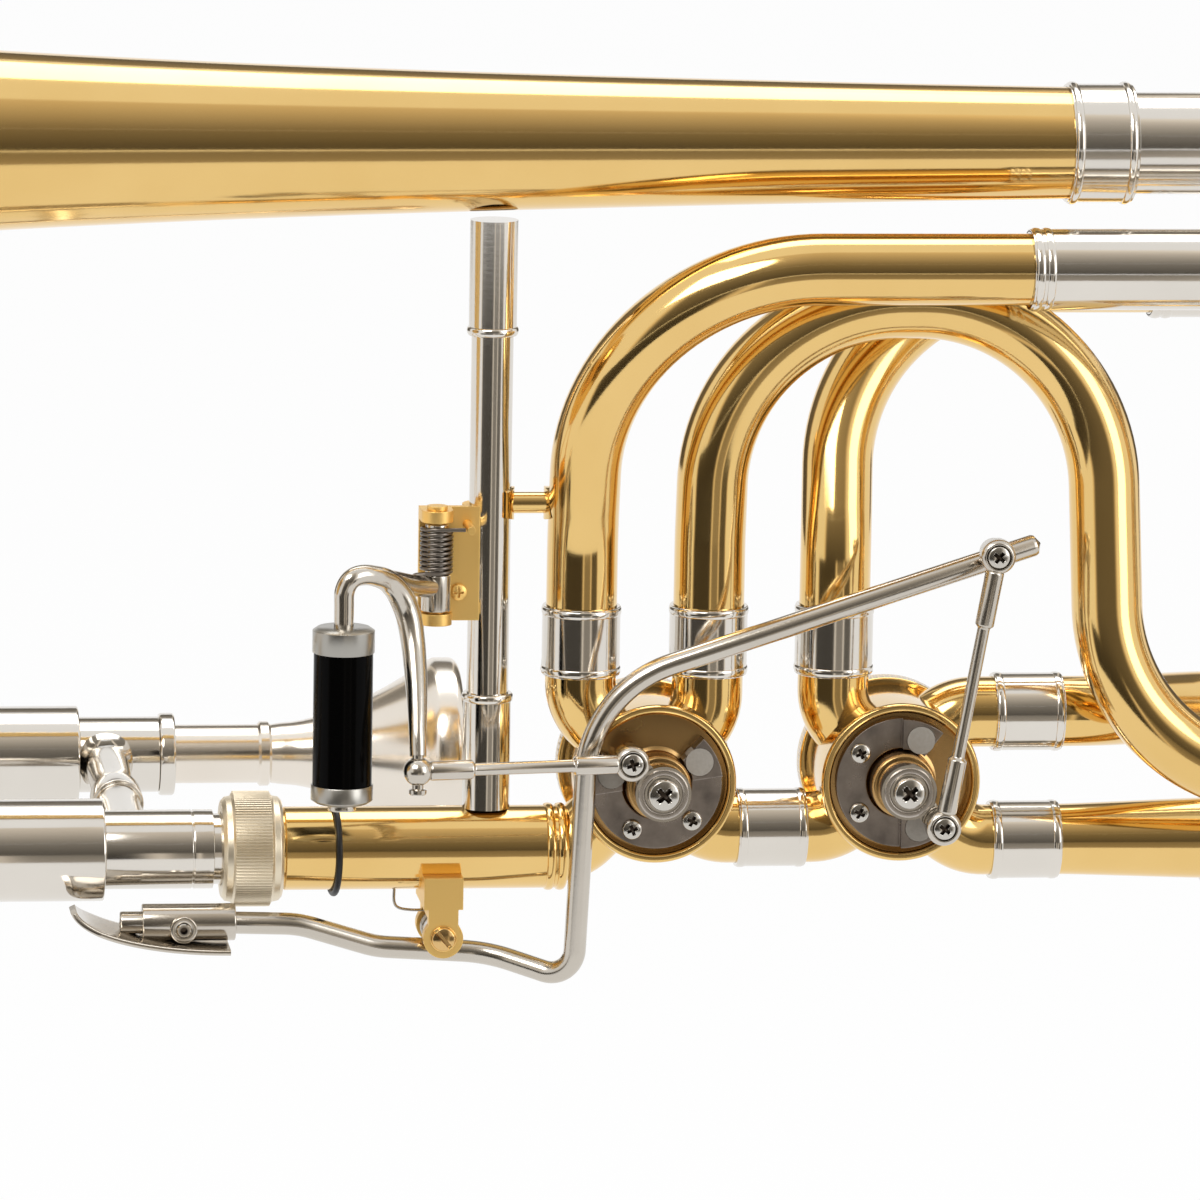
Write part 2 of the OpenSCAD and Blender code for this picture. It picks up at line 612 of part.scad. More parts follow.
// Bracket that carries the thumb lever's hinge
bracket_top = 0;
bracket_low = -24.7;
bracket_back = -2;
bracket_front = -3.8;
ear_t = 2.5;
ear_r = 3.4;
hinge_pin_d = 3;
collar_low = bracket_low + ear_t + 0.4;
collar_top = -13.8;
sleeve_top = bracket_top - ear_t - 0.4;
spring_pitch = spring_wire + spring_gap;
thumb_turns = floor((sleeve_top - collar_top - spring_wire - 0.4) / spring_pitch);
thumb_spring_z = collar_top + 0.5;
anchor_x = -5.2;
anchor_z = thumb_spring_z + thumb_turns * spring_pitch;
anchor_d = 1.8;
pin_back = bracket_back - 0.9;
clamp_screw_at = [-7, -18.5];
module thumb_bracket() color("gold") difference() {
    union() {
        translate([thumb_hinge[0] - ear_r, bracket_front, bracket_low])
            cube([ear_r - thumb_hinge[0] - 1, bracket_back - bracket_front, bracket_top - bracket_low]);
        for (z = [bracket_low, bracket_top - ear_t]) translate([0, 0, z]) linear_extrude(ear_t) union() {
            translate([thumb_hinge[0], thumb_hinge[1]]) circle(r = ear_r);
            translate([thumb_hinge[0] - ear_r, thumb_hinge[1]]) square([2 * ear_r, bracket_back - thumb_hinge[1]]);
        }
        intersection() {
            translate([0, 0, bracket_low]) cylinder(d = brace_d + 3, h = bracket_top - bracket_low);
            translate([-8, bracket_front + 0.6, bracket_low - 1]) cube([7.4, 8, 40]);
        }
    }
    translate([anchor_x, bracket_front - 1, anchor_z]) along_y() cylinder(d = anchor_d + 2 * seat, h = pin_back - bracket_front + 1 + seat);
    translate([clamp_screw_at[0], bracket_front - 1, clamp_screw_at[1]]) along_y()
        cylinder(d = anchor_d + 2 * seat, h = pin_back - bracket_front + 1 + seat);
    translate([0, 0, bracket_low - 1]) cylinder(d = brace_d + 2 * seat, h = 40);
    translate([thumb_hinge[0], thumb_hinge[1], bracket_low - 1]) cylinder(d = hinge_pin_d + 2 * seat, h = 30);
}

// Hinge pin of the thumb lever, the pin that anchors its spring and the bracket's screw
module bracket_pins() color("silver") {
    translate([thumb_hinge[0], thumb_hinge[1], bracket_low + 0.3]) cylinder(d = hinge_pin_d, h = bracket_top - bracket_low - 0.1);
    translate([thumb_hinge[0], thumb_hinge[1], bracket_top + 0.05]) cylinder(d = 4.4, h = 0.9);
    translate([anchor_x, pin_back, anchor_z]) rotate([90, 0, 0]) cylinder(d = anchor_d, h = 9.4);
    translate([clamp_screw_at[0], pin_back, clamp_screw_at[1]]) rotate([90, 0, 0]) cylinder(d = anchor_d, h = 1.4);
    translate([clamp_screw_at[0], bracket_front - seat, clamp_screw_at[1]]) rotate([90, 0, 0]) cross_head(3.5, 1.2);
}

// Thumb lever with its hinge sleeve, the rod to the roller and the rod to the link
roller_axis = [-33.7, -27];
roller_top = -21.6;
ball_z = link_1_z;
module thumb_lever() color("silver") difference() {
    union() {
        translate([thumb_hinge[0], thumb_hinge[1], collar_low]) cylinder(d = 6.4, h = collar_top - collar_low);
        translate([thumb_hinge[0], thumb_hinge[1], collar_low]) cylinder(d = 4.9, h = sleeve_top - collar_low);
        rod([[thumb_hinge[0], thumb_hinge[1], -17], [-20, -14, -16.5], [-27, -21, -9],
            [roller_axis[0], roller_axis[1], -10.5], [roller_axis[0], roller_axis[1], roller_top - roller_len - 1.6]],
            [0, 8, 8, 5, 0], thumb_rod_d);
        rod([[thumb_hinge[0], thumb_hinge[1], -17.6], [-17.5, -15, -19], [-16, -25, -36],
            [thumb_ball[0], thumb_ball[1], -43], [thumb_ball[0], thumb_ball[1], ball_z + 3.4]],
            [0, 7, 16, 6, 0], thumb_rod_d - 0.2);
        translate([thumb_ball[0], thumb_ball[1], ball_z - 4.4]) cylinder(d = 2.4, h = 8);
        translate([thumb_ball[0], thumb_ball[1], ball_z - 5]) cylinder(d = 3.8, h = 1.2);
        translate([roller_axis[0], roller_axis[1], roller_top - roller_len - 1.6]) cylinder(d = 6, h = 1.2);
    }
    translate([thumb_hinge[0], thumb_hinge[1], -30]) cylinder(d = hinge_pin_d + 2 * fit, h = 40);
}

// Roller body and its two metal caps, which turn together on the lever's rod
cap_h = 4;
module roller_part(z0, z1, d) translate([roller_axis[0], roller_axis[1], roller_top]) difference() {
    translate([0, 0, -z1]) cylinder(d = d, h = z1 - z0);
    translate([0, 0, -z1 - 1]) cylinder(d = thumb_rod_d + 2 * fit, h = z1 - z0 + 2);
}
module thumb_roller() color("black") roller_part(cap_h + 1.6, roller_len - cap_h, roller_d - 0.6);
module roller_caps() color("silver") {
    roller_part(0.2, cap_h + 1.6, roller_d);
    roller_part(roller_len - cap_h, roller_len - 0.1, roller_d);
}

// A link: the rod with two thick ends and the eye at its far end, and the screw in the eye
module link_rod(a, b, start, stop) {
    d = dir(a, b);
    l = norm(b - a);
    x = side(d);
    place(a, x, cross(d, x), d) turned([
        [start, 0], [start, link_end_d / 2], [start + l * 0.2, link_end_d / 2], [start + l * 0.21, link_d / 2],
        [l - stop - l * 0.21, link_d / 2], [l - stop - l * 0.2, link_end_d / 2], [l - stop, link_end_d / 2], [l - stop, 0]]);
}
module link_eye(p) translate([p[0], link_back, p[2]]) rotate([90, 0, 0])
    turned([[0, 0], [0, eye_d / 2], [2.9, eye_d / 2], [3.6, eye_d / 2 - 0.7], [3.6, 0]]);
module eye_screw(p) translate([p[0], link_back - 1, p[2]]) rotate([90, 0, 0]) translate([0, 0, seat]) cross_head(5, 2.9);
eye_1 = [valve_x + arm_r * cos(arm_1_angle), link_y, link_1_z];
ball_1 = [thumb_ball[0], thumb_ball[1], ball_z];
module link_1() color("silver") {
    difference() {
        union() {
            translate(ball_1) sphere(d = 6.2);
            link_rod(ball_1, eye_1, 2.2, 3.1);
            link_eye(eye_1);
        }
        translate([ball_1[0], ball_1[1], ball_z - 5]) cylinder(d = 2.9, h = 10);
        translate([eye_1[0], link_back - 1, eye_1[2]]) rotate([90, 0, 0]) cylinder(d = 5.2, h = 6);
    }
    eye_screw(eye_1);
}

// Second link, from the second lever's end down to the second stop arm
eye_2 = [valve_2_x + arm_r * cos(arm_2_angle), link_y, valve_z + arm_r * sin(arm_2_angle)];
joint_2 = [lever_2_joint[0], link_y, lever_2_joint[1]];
module link_2() color("silver") {
    difference() {
        union() {
            link_rod(joint_2, eye_2, 3.1, 3.1);
            link_eye(eye_2);
            link_eye(joint_2);
        }
        for (p = [eye_2, joint_2]) translate([p[0], link_back - 1, p[2]]) rotate([90, 0, 0]) cylinder(d = 5.2, h = 6);
    }
    eye_screw(eye_2);
    eye_screw(joint_2);
}

// Stop arm: hub, arm, eye boss and the lug that runs between the bumpers
module stop_arm(x, arm_angle, lug_angle) valve_front(x) difference() {
    union() {
        translate([0, 0, -hub_back]) cylinder(d = hub_d, h = hub_back - hub_front);
        rotate(arm_angle) translate([arm_r, 0, -eye_back]) cylinder(d = eye_d - 0.6, h = eye_back - hub_front);
        rotate(arm_angle) translate([4, -2.4, -eye_back]) cube([arm_r - 4, 4.8, eye_back - hub_front - 0.8]);
        rotate(lug_angle) translate([plate_in + 0.4, -0.7, -casing_floor + 0.4]) cube([4.4, 1.4, casing_floor - eye_back + 0.4]);
        rotate(lug_angle) translate([4, -1.6, -hub_back]) cube([plate_in + 0.8, 3.2, hub_back - eye_back + 0.8]);
    }
    cylinder(d = 6 + 2 * seat, h = -hub_front - 1.2);
    cylinder(d = 3.1, h = 40);
}
module stop_arm_1() color("silver") stop_arm(valve_x, arm_1_angle, turn_valve_1 + 45);
module stop_arm_2() color("silver") stop_arm(valve_2_x, arm_2_angle, turn_valve_2 - 45);

// Rotor with its two curved passages and the spindle in front and behind
passage_w = 11.4;
module rotor(x) valve_front(x) difference() {
    union() {
        translate([0, 0, -rotor_len / 2]) cylinder(d = rotor_d, h = rotor_len);
        translate([0, 0, -casing_back + 0.3]) cylinder(d = spindle_d, h = casing_back - hub_back - 0.5);
        cylinder(d = 6, h = -hub_front - 1.4);
    }
    for (a = [90, 270]) rotate(a) translate([rotor_d / sqrt(2), 0, 0]) rotate([0, 0, 90]) rotate_extrude()
        translate([rotor_d / 2, 0]) union() {
            square([passage_w, bore_d - passage_w], center = true);
            for (z = [-1, 1]) translate([0, z * (bore_d - passage_w) / 2]) circle(d = passage_w);
        }
    translate([0, 0, -hub_front - 8]) cylinder(d = 3.04, h = 10);
}
module rotor_1() color("khaki") rotor(valve_x);
module rotor_2() color("khaki") rotor(valve_2_x);

// Screws that hold the stop arms on the spindles
module hub_screw(x) valve_front(x) {
    translate([0, 0, -hub_front + seat]) cross_head(7, 2);
    translate([0, 0, -hub_front - 6]) cylinder(d = 3, h = 6.4);
}
module hub_screw_1() color("silver") hub_screw(valve_x);
module hub_screw_2() color("silver") hub_screw(valve_2_x);

// Post under the receiver that carries the second lever
post_w = 8.4;
post_front = -12.6;
post_back = 5.2;
post_ear = 2.8;
post_low = -88.4;
post_ledge = -79.3;
post_neck_w = 6.4;
post_neck_top = -86.2;
post_boss_d = 8.6;
pivot_d = 3;
post_x = lever_2_pivot[0];
pivot_z = lever_2_pivot[1];
module lever_2_post() color("gold") difference() {
    union() {
        translate([post_x - post_w / 2, post_front, post_neck_top])
            cube([post_w, post_back - post_front, post_ledge - post_neck_top]);
        translate([post_x - post_neck_w / 2, post_front, post_low])
            cube([post_neck_w, post_back - post_front, post_neck_top - post_low + 1]);
        for (y = [post_front, post_back - post_ear]) translate([post_x, y, pivot_z]) {
            along_y() cylinder(d = post_boss_d, h = post_ear);
            translate([-post_neck_w / 2, 0, 0]) cube([post_neck_w, post_ear, post_low - pivot_z + 1]);
        }
    }
    translate([post_x - 20, 0, receiver_z]) along_x() cylinder(d = receiver_d + 2 * seat, h = 40);
    translate([post_x, -20, pivot_z]) along_y() cylinder(d = pivot_d + 2 * seat, h = 40);
}

// Pivot screw of the second lever, with its slotted head
module lever_2_pivot_screw() color("gold") translate([post_x, 0, pivot_z]) rotate([90, 0, 0]) difference() {
    union() {
        translate([0, 0, -5.6]) cylinder(d = pivot_d, h = 18.6);
        translate([0, 0, 12.62]) cylinder(d1 = 5.6, d2 = 5, h = 1.4);
    }
    translate([-4, -0.4, 13.3]) cube([8, 0.8, 2]);
}

// Second lever: the bent rod with its hinge tube, the joint boss and the paddle's socket
hinge_2_y0 = -9.5;
hinge_2_len = 6.5;
socket_x0 = -74.7;
socket_x1 = -54.7;
socket_depth = 13;
socket_y = -9.8;
socket_z = -88.9;
stem_d = 4.8;
clamp_x = -66;
module lever_2() color("silver") difference() {
    union() {
        rod([[socket_x1 - 8, socket_y, socket_z], [-41, -9.4, -89.6], [-24, -7.2, -95.2], [0, -6.5, -96.8],
            [17.6, -16, -101.2], [19.8, rod_2_y, -37], [116, rod_2_y, -5.4]],
            [0, 20, 20, 20, 6, 26, 0], rod_2_d);
        translate([socket_x0, socket_y, socket_z]) along_x() cylinder(d = 8, h = socket_x1 - socket_x0);
        translate([clamp_x, socket_y, socket_z - 0.8]) rotate([90, 0, 0]) cylinder(d = 5.8, h = 5);
        translate([post_x, hinge_2_y0, pivot_z]) along_y() cylinder(d = 7.2, h = hinge_2_len);
        translate([joint_2[0], rod_2_y, joint_2[2]]) rotate([90, 0, 0]) cylinder(d = 6, h = rod_2_y - link_back - 0.4);
    }
    translate([post_x, -20, pivot_z]) along_y() cylinder(d = pivot_d + 2 * fit, h = 40);
    translate([socket_x0 - 1, socket_y, socket_z]) along_x() cylinder(d = stem_d + 2 * seat, h = socket_depth + 1);
    translate([clamp_x, socket_y - 2.6, socket_z - 0.8]) rotate([90, 0, 0]) cylinder(d = 3 + 2 * seat, h = 5);
}

// Finger paddle, a bowed plate on a stem, and the screw that clamps the stem in the lever's socket
paddle_t = 1.4;
paddle_w = 18;
paddle_reach = 34.3;
paddle_rise = 10.3;
paddle_x1 = -56.2;
paddle_low = -94.6;
paddle_front = socket_y - paddle_w / 2;
stem_x0 = -79.4;
function bowl(a, b, i) = [paddle_x1 - a * sin(i), paddle_rise - b * cos(i)];
module paddle() color("silver") difference() {
    union() {
        translate([stem_x0, socket_y, socket_z]) along_x() cylinder(d = stem_d, h = socket_x0 + socket_depth - 0.1 - stem_x0);
        translate([0, paddle_front, paddle_low]) rotate([90, 0, 0]) translate([0, 0, -paddle_w])
            linear_extrude(paddle_w) polygon(concat(
                [for (i = [0 : 6 : 84]) bowl(paddle_reach, paddle_rise, i)],
                [for (i = [84 : -6 : 0]) bowl(paddle_reach - paddle_t, paddle_rise - paddle_t, i)]));
    }
    translate([socket_x0 - 0.3, socket_y, socket_z]) along_x() difference() {
        cylinder(d = 8.4, h = 24);
        translate([0, 0, -1]) cylinder(d = stem_d, h = 26);
    }
    slide_frame() translate([-100, 0, 0]) along_x() cylinder(d = barrel_d + 1.4, h = 100 + barrel_x1 + 0.7);
    slide_frame() translate([-83, 0, 0]) along_x() cylinder(d = 18.4, h = 24.8);
    translate([clamp_x, socket_y, socket_z - 0.8]) rotate([90, 0, 0]) cylinder(d = 6.4, h = 8);
}
module paddle_screw() color("silver") translate([clamp_x, socket_y - 2.65, socket_z - 0.8]) rotate([90, 0, 0]) difference() {
    cylinder(d = 3, h = 2.9);
    translate([-2, -0.3, 2.2]) cube([4, 0.6, 2]);
}

// Rubber ring round the receiver
module o_ring() color("black") translate([-33, 0, receiver_z]) rotate([0, 90, 3]) rotate_extrude()
    translate([receiver_d / 2 + 1.25, 0]) circle(d = 1.7);

// Wound wires: a helix of 8 rings a turn whose ends run straight and square to it
wire_sides = 6;
rings_per_turn = 8;
function helix(r, pitch, turns, a0, hand) = [for (i = [0 : turns * rings_per_turn])
    let (a = a0 + hand * i * 360 / rings_per_turn) [r * cos(a), r * sin(a), pitch * i / rings_per_turn]];
function ring_dir(p, i) = i == 0 ? dir(p[0], p[1]) : i == len(p) - 1 ? dir(p[i - 1], p[i])
    : unit(dir(p[i - 1], p[i]) + dir(p[i], p[i + 1]));
function next_side(s, d) = unit(s - (s * d) * d);
function sides(p, i, s) = i == len(p) ? [] :
    let (n = next_side(s, ring_dir(p, i))) concat([n], sides(p, i + 1, n));
module wire(p, d) {
    s = sides(p, 0, side(ring_dir(p, 0)));
    n = len(p);
    w = wire_sides;
    polyhedron(
        points = concat(
            [for (i = [0 : n - 1]) for (k = [0 : w - 1])
                p[i] + d / 2 * (cos(k * 360 / w) * s[i] + sin(k * 360 / w) * cross(ring_dir(p, i), s[i]))],
            [p[0], p[n - 1]]),
        faces = concat(
            [for (i = [0 : n - 2]) for (k = [0 : w - 1]) [i * w + k, (i + 1) * w + k, (i + 1) * w + (k + 1) % w]],
            [for (i = [0 : n - 2]) for (k = [0 : w - 1]) [i * w + k, (i + 1) * w + (k + 1) % w, i * w + (k + 1) % w]],
            [for (k = [0 : w - 1]) [n * w, k, (k + 1) % w]],
            [for (k = [0 : w - 1]) [n * w + 1, (n - 1) * w + (k + 1) % w, (n - 1) * w + k]]));
}
// Least distance between the surfaces of two turns of a wound wire
function self_gap(p, d) = min([for (i = [0 : len(p) - 1]) for (j = [i + rings_per_turn / 2 : len(p) - 1]) norm(p[i] - p[j])]) - d;

// The thumb spring's ends meet the lever's rod from above and the anchor pin from the side
thumb_coil_r = 3.2;
thumb_points = concat(
    [[-5.46, -4.2, -1.05], [-5.46, -4.2, -0.4], [-4.8, -3.85, -0.05], [-2.6, -thumb_coil_r, 0]],
    helix(thumb_coil_r, spring_pitch, thumb_turns, -90, 1),
    [[4, -thumb_coil_r, thumb_turns * spring_pitch],
    [anchor_x - anchor_d / 2 - 0.3 - thumb_hinge[0], -thumb_coil_r, thumb_turns * spring_pitch]]);
echo("thumb_spring least self gap", self_gap(thumb_points, spring_wire));
module thumb_spring() color("gray") translate([thumb_hinge[0], thumb_hinge[1], thumb_spring_z])
    wire(thumb_points, spring_wire);

// The second lever's spring rises beside the post to the receiver and ends beside the lever's rod
lever_2_turns = 3.5;
lever_2_coil_r = 3.4;
lever_2_points = concat(
    [[-7.4, 3.5, -1.3], [-7.4, 3.5, -0.7], [-6.9, 3.5, 0], [-2.5, lever_2_coil_r, 0]],
    helix(lever_2_coil_r, spring_pitch, lever_2_turns, 90, -1),
    [[-5.5, -lever_2_coil_r, lever_2_turns * spring_pitch], [-8.3, -3.9, lever_2_turns * spring_pitch],
    [-9.3, -5.3, lever_2_turns * spring_pitch], [-9.3, -8.4, lever_2_turns * spring_pitch]]);
echo("lever_2_spring least self gap", self_gap(lever_2_points, spring_wire));
module lever_2_spring() color("gray") translate([post_x, hinge_2_y0 + hinge_2_len + 0.75, pivot_z]) rotate([-90, 0, 0])
    wire(lever_2_points, spring_wire);

// Hand slide: brace with its two collars, near and far
collar_id = inner_slide_d + 2 * seat;
module slide_brace() color("silver") slide_frame() difference() {
    union() {
        translate([barrel_x1 + 0.1, 0, 0]) along_x() cylinder(d = 17, h = collar_x1 - barrel_x1 - 0.1);
        translate([barrel_x1 + 0.1, slide_pitch, 0]) along_x() cylinder(d = 17, h = 18);
        translate([slide_brace_x, 0, 0]) along_y() cylinder(d = 9.6, h = slide_pitch);
        translate([slide_brace_x, slide_pitch / 2 - 4, 0]) along_y() cylinder(d = 11.4, h = 8);
    }
    for (y = [0, slide_pitch]) translate([barrel_x1 - 1, y, 0]) along_x() cylinder(d = collar_id, h = 40);
}

// Barrels that hold the corks and take the outer slide in first position
module cork_barrels() color("silver") slide_frame() for (y = [0, slide_pitch])
    translate([barrel_x1 - barrel_len, y, 0]) along_x() difference() {
        cylinder(d = barrel_d, h = barrel_len);
        translate([0, 0, -1]) cylinder(d = barrel_d - 2, h = barrel_len - 3);
        cylinder(d = collar_id, h = barrel_len + 1);
    }

// Inner slide tubes; the near one runs through the nut into the receiver as the slide's tenon
tenon_x1 = -40;
inner_x0 = collar_x1 - inner_slide_len - 3;
crook_x = crook_gap - inner_x0;
module inner_slides() color("gainsboro") slide_frame() for (y = [0, slide_pitch])
    translate([inner_x0, y, 0]) along_x() difference() {
        cylinder(d = inner_slide_d, h = (y == 0 ? tenon_x1 : -68) - inner_x0);
        translate([0, 0, -1]) cylinder(d = bore_d, h = inner_slide_len + 60);
    }

// Receiver of the mouthpiece on the far tube
shank_d = 13.2;
module mouthpiece_receiver() color("silver") slide_frame() translate([-67.6, slide_pitch, 0]) along_x() difference() {
    union() {
        translate([0, 0, 3.5]) cylinder(d = 17, h = 0.5);
        cylinder(d = inner_slide_d, h = 4);
        translate([0, 0, 3.4]) cylinder(d = 18.6, h = 3.4);
    }
    translate([0, 0, -1]) cylinder(d = shank_d + 0.1, h = 20);
}

// Nut that locks the hand slide to the receiver
module lock_nut() color("wheat") slide_frame() translate([nut_x0, 0, 0]) along_x() difference() {
    turned([[0, 0], [0, 10.6], [2, 12.2], [3, 12.2], [3, 12.5], [10, 12.5], [10, 12.2], [11, 12.2], [13, 10.6], [13, 0]]);
    translate([0, 0, -1]) cylinder(d = inner_slide_d + 2 * fit + 0.5, h = 20);
    translate([0, 0, 3.2]) cylinder(d = thread_d + 2 * fit, h = 20);
}

// Mouthpiece on the far tube, with its cup opening to the right
mouthpiece_x0 = -86;
rim_x = 3.6;
module mouthpiece() color("silver") slide_frame() translate([mouthpiece_x0, slide_pitch, 0]) along_x() {
    l = rim_x - mouthpiece_x0;
    rr = mouthpiece_rim_d / 2;
    cr = mouthpiece_cup_d / 2;
    rotate_extrude() polygon(concat(
        [[5.6, 0], [shank_d / 2, 22], [shank_d / 2, 44], [7.3, 44.6], [7.3, 46.4], [6.6, 47], [6.9, 49]],
        [for (i = [0 : 8]) let (t = i / 8) [7 + (rr - 8.5) * pow(t, 1.6) , 50 + (l - 58) * t]],
        [[rr - 0.6, l - 7], [rr, l - 5.6], [rr, l - 1.8], [rr - 1.6, l - 0.3], [rr - 4, l], [cr + 1, l - 1]],
        [for (i = [0 : 8]) let (t = i / 8) [3.9 + (cr - 3.9) * sqrt(1 - t * t), l - 1.6 - (cup_depth - 1.6) * t]],
        [[3.8, l - cup_depth - 4], [4.6, 0]]));
}

// Outer slide tubes with their end ferrules
outer_x1 = barrel_x1 - barrel_len + 14;
module outer_slides() color("gold") slide_frame() for (y = [0, slide_pitch])
    translate([-crook_x, y, 0]) along_x() difference() {
        union() {
            cylinder(d = outer_slide_d, h = outer_x1 + crook_x);
            cylinder(d = outer_slide_d + 1.6, h = 40);
        }
        translate([0, 0, -1]) cylinder(d = outer_slide_id, h = outer_x1 + crook_x + 2);
    }

// Crook that joins the outer tubes
module slide_crook() color("gold") slide_frame() translate([-crook_x - seat, slide_pitch / 2, 0])
    rotate([0, 0, 90]) rotate_extrude(angle = 180) translate([slide_pitch / 2, 0]) ring(outer_slide_d, outer_slide_id);

// Brace of the outer slide, with its two collars
outer_brace_x = barrel_x1 - barrel_len - 22;
module outer_slide_brace() color("silver") slide_frame() difference() {
    union() {
        for (y = [0, slide_pitch]) translate([outer_brace_x - 12, y, 0]) along_x() cylinder(d = outer_slide_d + 1.6, h = 24);
        translate([outer_brace_x, 0, 0]) along_y() cylinder(d = 9.6, h = slide_pitch);
        translate([outer_brace_x, slide_pitch / 2 - 4, 0]) along_y() cylinder(d = 11.4, h = 8);
    }
    for (y = [0, slide_pitch]) translate([outer_brace_x - 20, y, 0]) along_x() cylinder(d = outer_slide_d + 2 * seat, h = 40);
}

// Rubber bumper at the end of the crook, with its socket
module crook_bumper() color("black") slide_frame() difference() {
    translate([-crook_x - slide_pitch / 2 - outer_slide_d / 2 - 9, slide_pitch / 2, 0]) along_x()
        turned([[0, 0], [0, 3.4], [1.6, 4.6], [7, 5], [7, 6], [12, 6], [12, 0]]);
    translate([-crook_x, slide_pitch / 2, 0]) rotate_extrude() translate([slide_pitch / 2, 0]) circle(d = outer_slide_d + 2 * seat);
}

// Water key: the seat with its nipple and hinge posts, the lever, the cork and the spring
key_x = 10 - crook_x;
key_hinge_x = key_x + 20;
key_hinge_z = -13;
nipple_end = -11.6;
key_pin_d = 2;
module water_key_seat() color("silver") slide_frame() {
    difference() {
        union() {
            translate([key_x, 0, nipple_end]) cylinder(d = 6.4, h = 6);
            for (y = [-4.6, 3]) translate([key_hinge_x - 2.4, y, key_hinge_z - 2.4]) cube([4.8, 1.6, 9]);
            translate([key_hinge_x - 5, -5.6, -10]) cube([10, 11.2, 6]);
            translate([key_hinge_x, -5.2, key_hinge_z]) along_y() cylinder(d = key_pin_d, h = 10.4);
        }
        translate([-crook_x - 1, 0, 0]) along_x() cylinder(d = outer_slide_d + 1.6 + 2 * seat, h = 60);
        translate([key_x, 0, nipple_end - 1]) cylinder(d = 3.6, h = 10);
    }
}
module water_key() color("gold") slide_frame() difference() {
    union() {
        translate([key_hinge_x, -2.8, key_hinge_z]) along_y() cylinder(d = 4.4, h = 5.6);
        translate([key_x, -2, key_hinge_z - 3.4]) cube([key_hinge_x - key_x + 24, 4, 1.4]);
        translate([key_x, 0, key_hinge_z - 3.4]) cylinder(d = 9.4, h = 2.6);
        translate([key_hinge_x + 24, 0, key_hinge_z - 3.4]) cylinder(d = 9, h = 1.4);
        translate([key_hinge_x - 1.5, -2, key_hinge_z - 3]) cube([3, 4, 3]);
    }
    translate([key_x, 0, key_hinge_z - 2]) cylinder(d = 8 + 2 * seat, h = 4);
    translate([key_hinge_x, -6, key_hinge_z]) along_y() cylinder(d = key_pin_d + 2 * fit, h = 12);
}
module water_key_cork() color("burlywood") slide_frame()
    translate([key_x, 0, key_hinge_z - 2 + seat]) cylinder(d = 8, h = nipple_end - key_hinge_z + 2 - 2 * seat);

key_turns = 3;
key_points = concat(
    [[9, -2.7, 0], [3, -2.7, 0]],
    helix(2.7, spring_pitch, key_turns, -90, 1),
    [[3, -2.8, key_turns * spring_pitch], [9, -2.8, key_turns * spring_pitch]]);
echo("water_key_spring least self gap", self_gap(key_points, spring_wire));
module water_key_spring() color("gray") slide_frame() translate([key_hinge_x, 6.4, key_hinge_z]) rotate([-90, 0, 0])
    wire(key_points, spring_wire);

bell();
main_slide_sleeves();
return_tube();
slide_receiver();
valve_casings();
valve_caps();
rear_bearings();
stop_plates();
stop_bumpers();
stop_plate_screws();
valve_elbows();
port_ferrules();
f_upper_tube();
f_arch_tube();
g_upper_tube();
g_lower_tube();
f_slide_sleeves();
g_slide_sleeves();
hand_brace();
brace_stay();
rear_brace();
thumb_bracket();
bracket_pins();
lever_2_post();
lever_2_pivot_screw();
o_ring();
thumb_spring();
lever_2_spring();
slide_brace();
cork_barrels();
inner_slides();
mouthpiece_receiver();
lock_nut();
mouthpiece();
outer_slides();
slide_crook();
outer_slide_brace();
crook_bumper();
water_key_seat();
water_key();
water_key_cork();
water_key_spring();
main_tuning_bow();
main_tuning_legs();
f_tuning_bow();
g_tuning_bow();
rotor_1();
rotor_2();
stop_arm_1();
stop_arm_2();
hub_screw_1();
hub_screw_2();
thumb_lever();
thumb_roller();
roller_caps();
link_1();
lever_2();
paddle();
paddle_screw();
link_2();
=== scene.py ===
# Bass trombone: lacquered brass, nickel trim, black thumb roller, on a plain white stage.
# Lengths in this file are millimetres; makeSurface turns them into metres.
import json
import math
import bpy
import bmesh
import numpy as np
from mathutils import Matrix


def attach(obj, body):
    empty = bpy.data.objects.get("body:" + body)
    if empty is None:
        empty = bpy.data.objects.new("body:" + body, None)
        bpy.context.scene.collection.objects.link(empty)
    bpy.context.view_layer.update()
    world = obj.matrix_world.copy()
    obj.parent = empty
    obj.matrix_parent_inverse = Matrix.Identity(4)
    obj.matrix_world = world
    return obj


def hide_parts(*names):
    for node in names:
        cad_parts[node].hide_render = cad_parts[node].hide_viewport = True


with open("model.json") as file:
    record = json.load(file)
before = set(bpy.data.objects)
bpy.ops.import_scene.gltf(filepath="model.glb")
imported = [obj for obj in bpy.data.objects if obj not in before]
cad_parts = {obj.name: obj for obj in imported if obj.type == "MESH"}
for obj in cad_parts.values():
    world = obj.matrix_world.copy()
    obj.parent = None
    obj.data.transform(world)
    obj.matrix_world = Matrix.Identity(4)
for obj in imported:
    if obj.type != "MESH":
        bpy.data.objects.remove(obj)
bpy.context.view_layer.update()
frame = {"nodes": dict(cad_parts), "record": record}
nodes = frame["nodes"]
mm = 0.001
around = 88

line = {"tube": 15.3, "bellZ": 78.0, "receiverZ": -75.0, "valveX": 35.3, "valvePitch": 53.0,
        "valveZ": -58.8, "returnZ": -74.3}
valve1X, valveZ, returnZ = line["valveX"], line["valveZ"], line["returnZ"]
valve2X = valve1X + line["valvePitch"]
bellZ, receiverZ, tubeRadius = line["bellZ"], line["receiverZ"], line["tube"] / 2
front = (0, -1, 0)
upward = (0, 0, 1)
axisRadius = 0.02


def unit(v):
    # A vector over its own length.
    v = np.asarray(v, float)
    return v / np.linalg.norm(v)


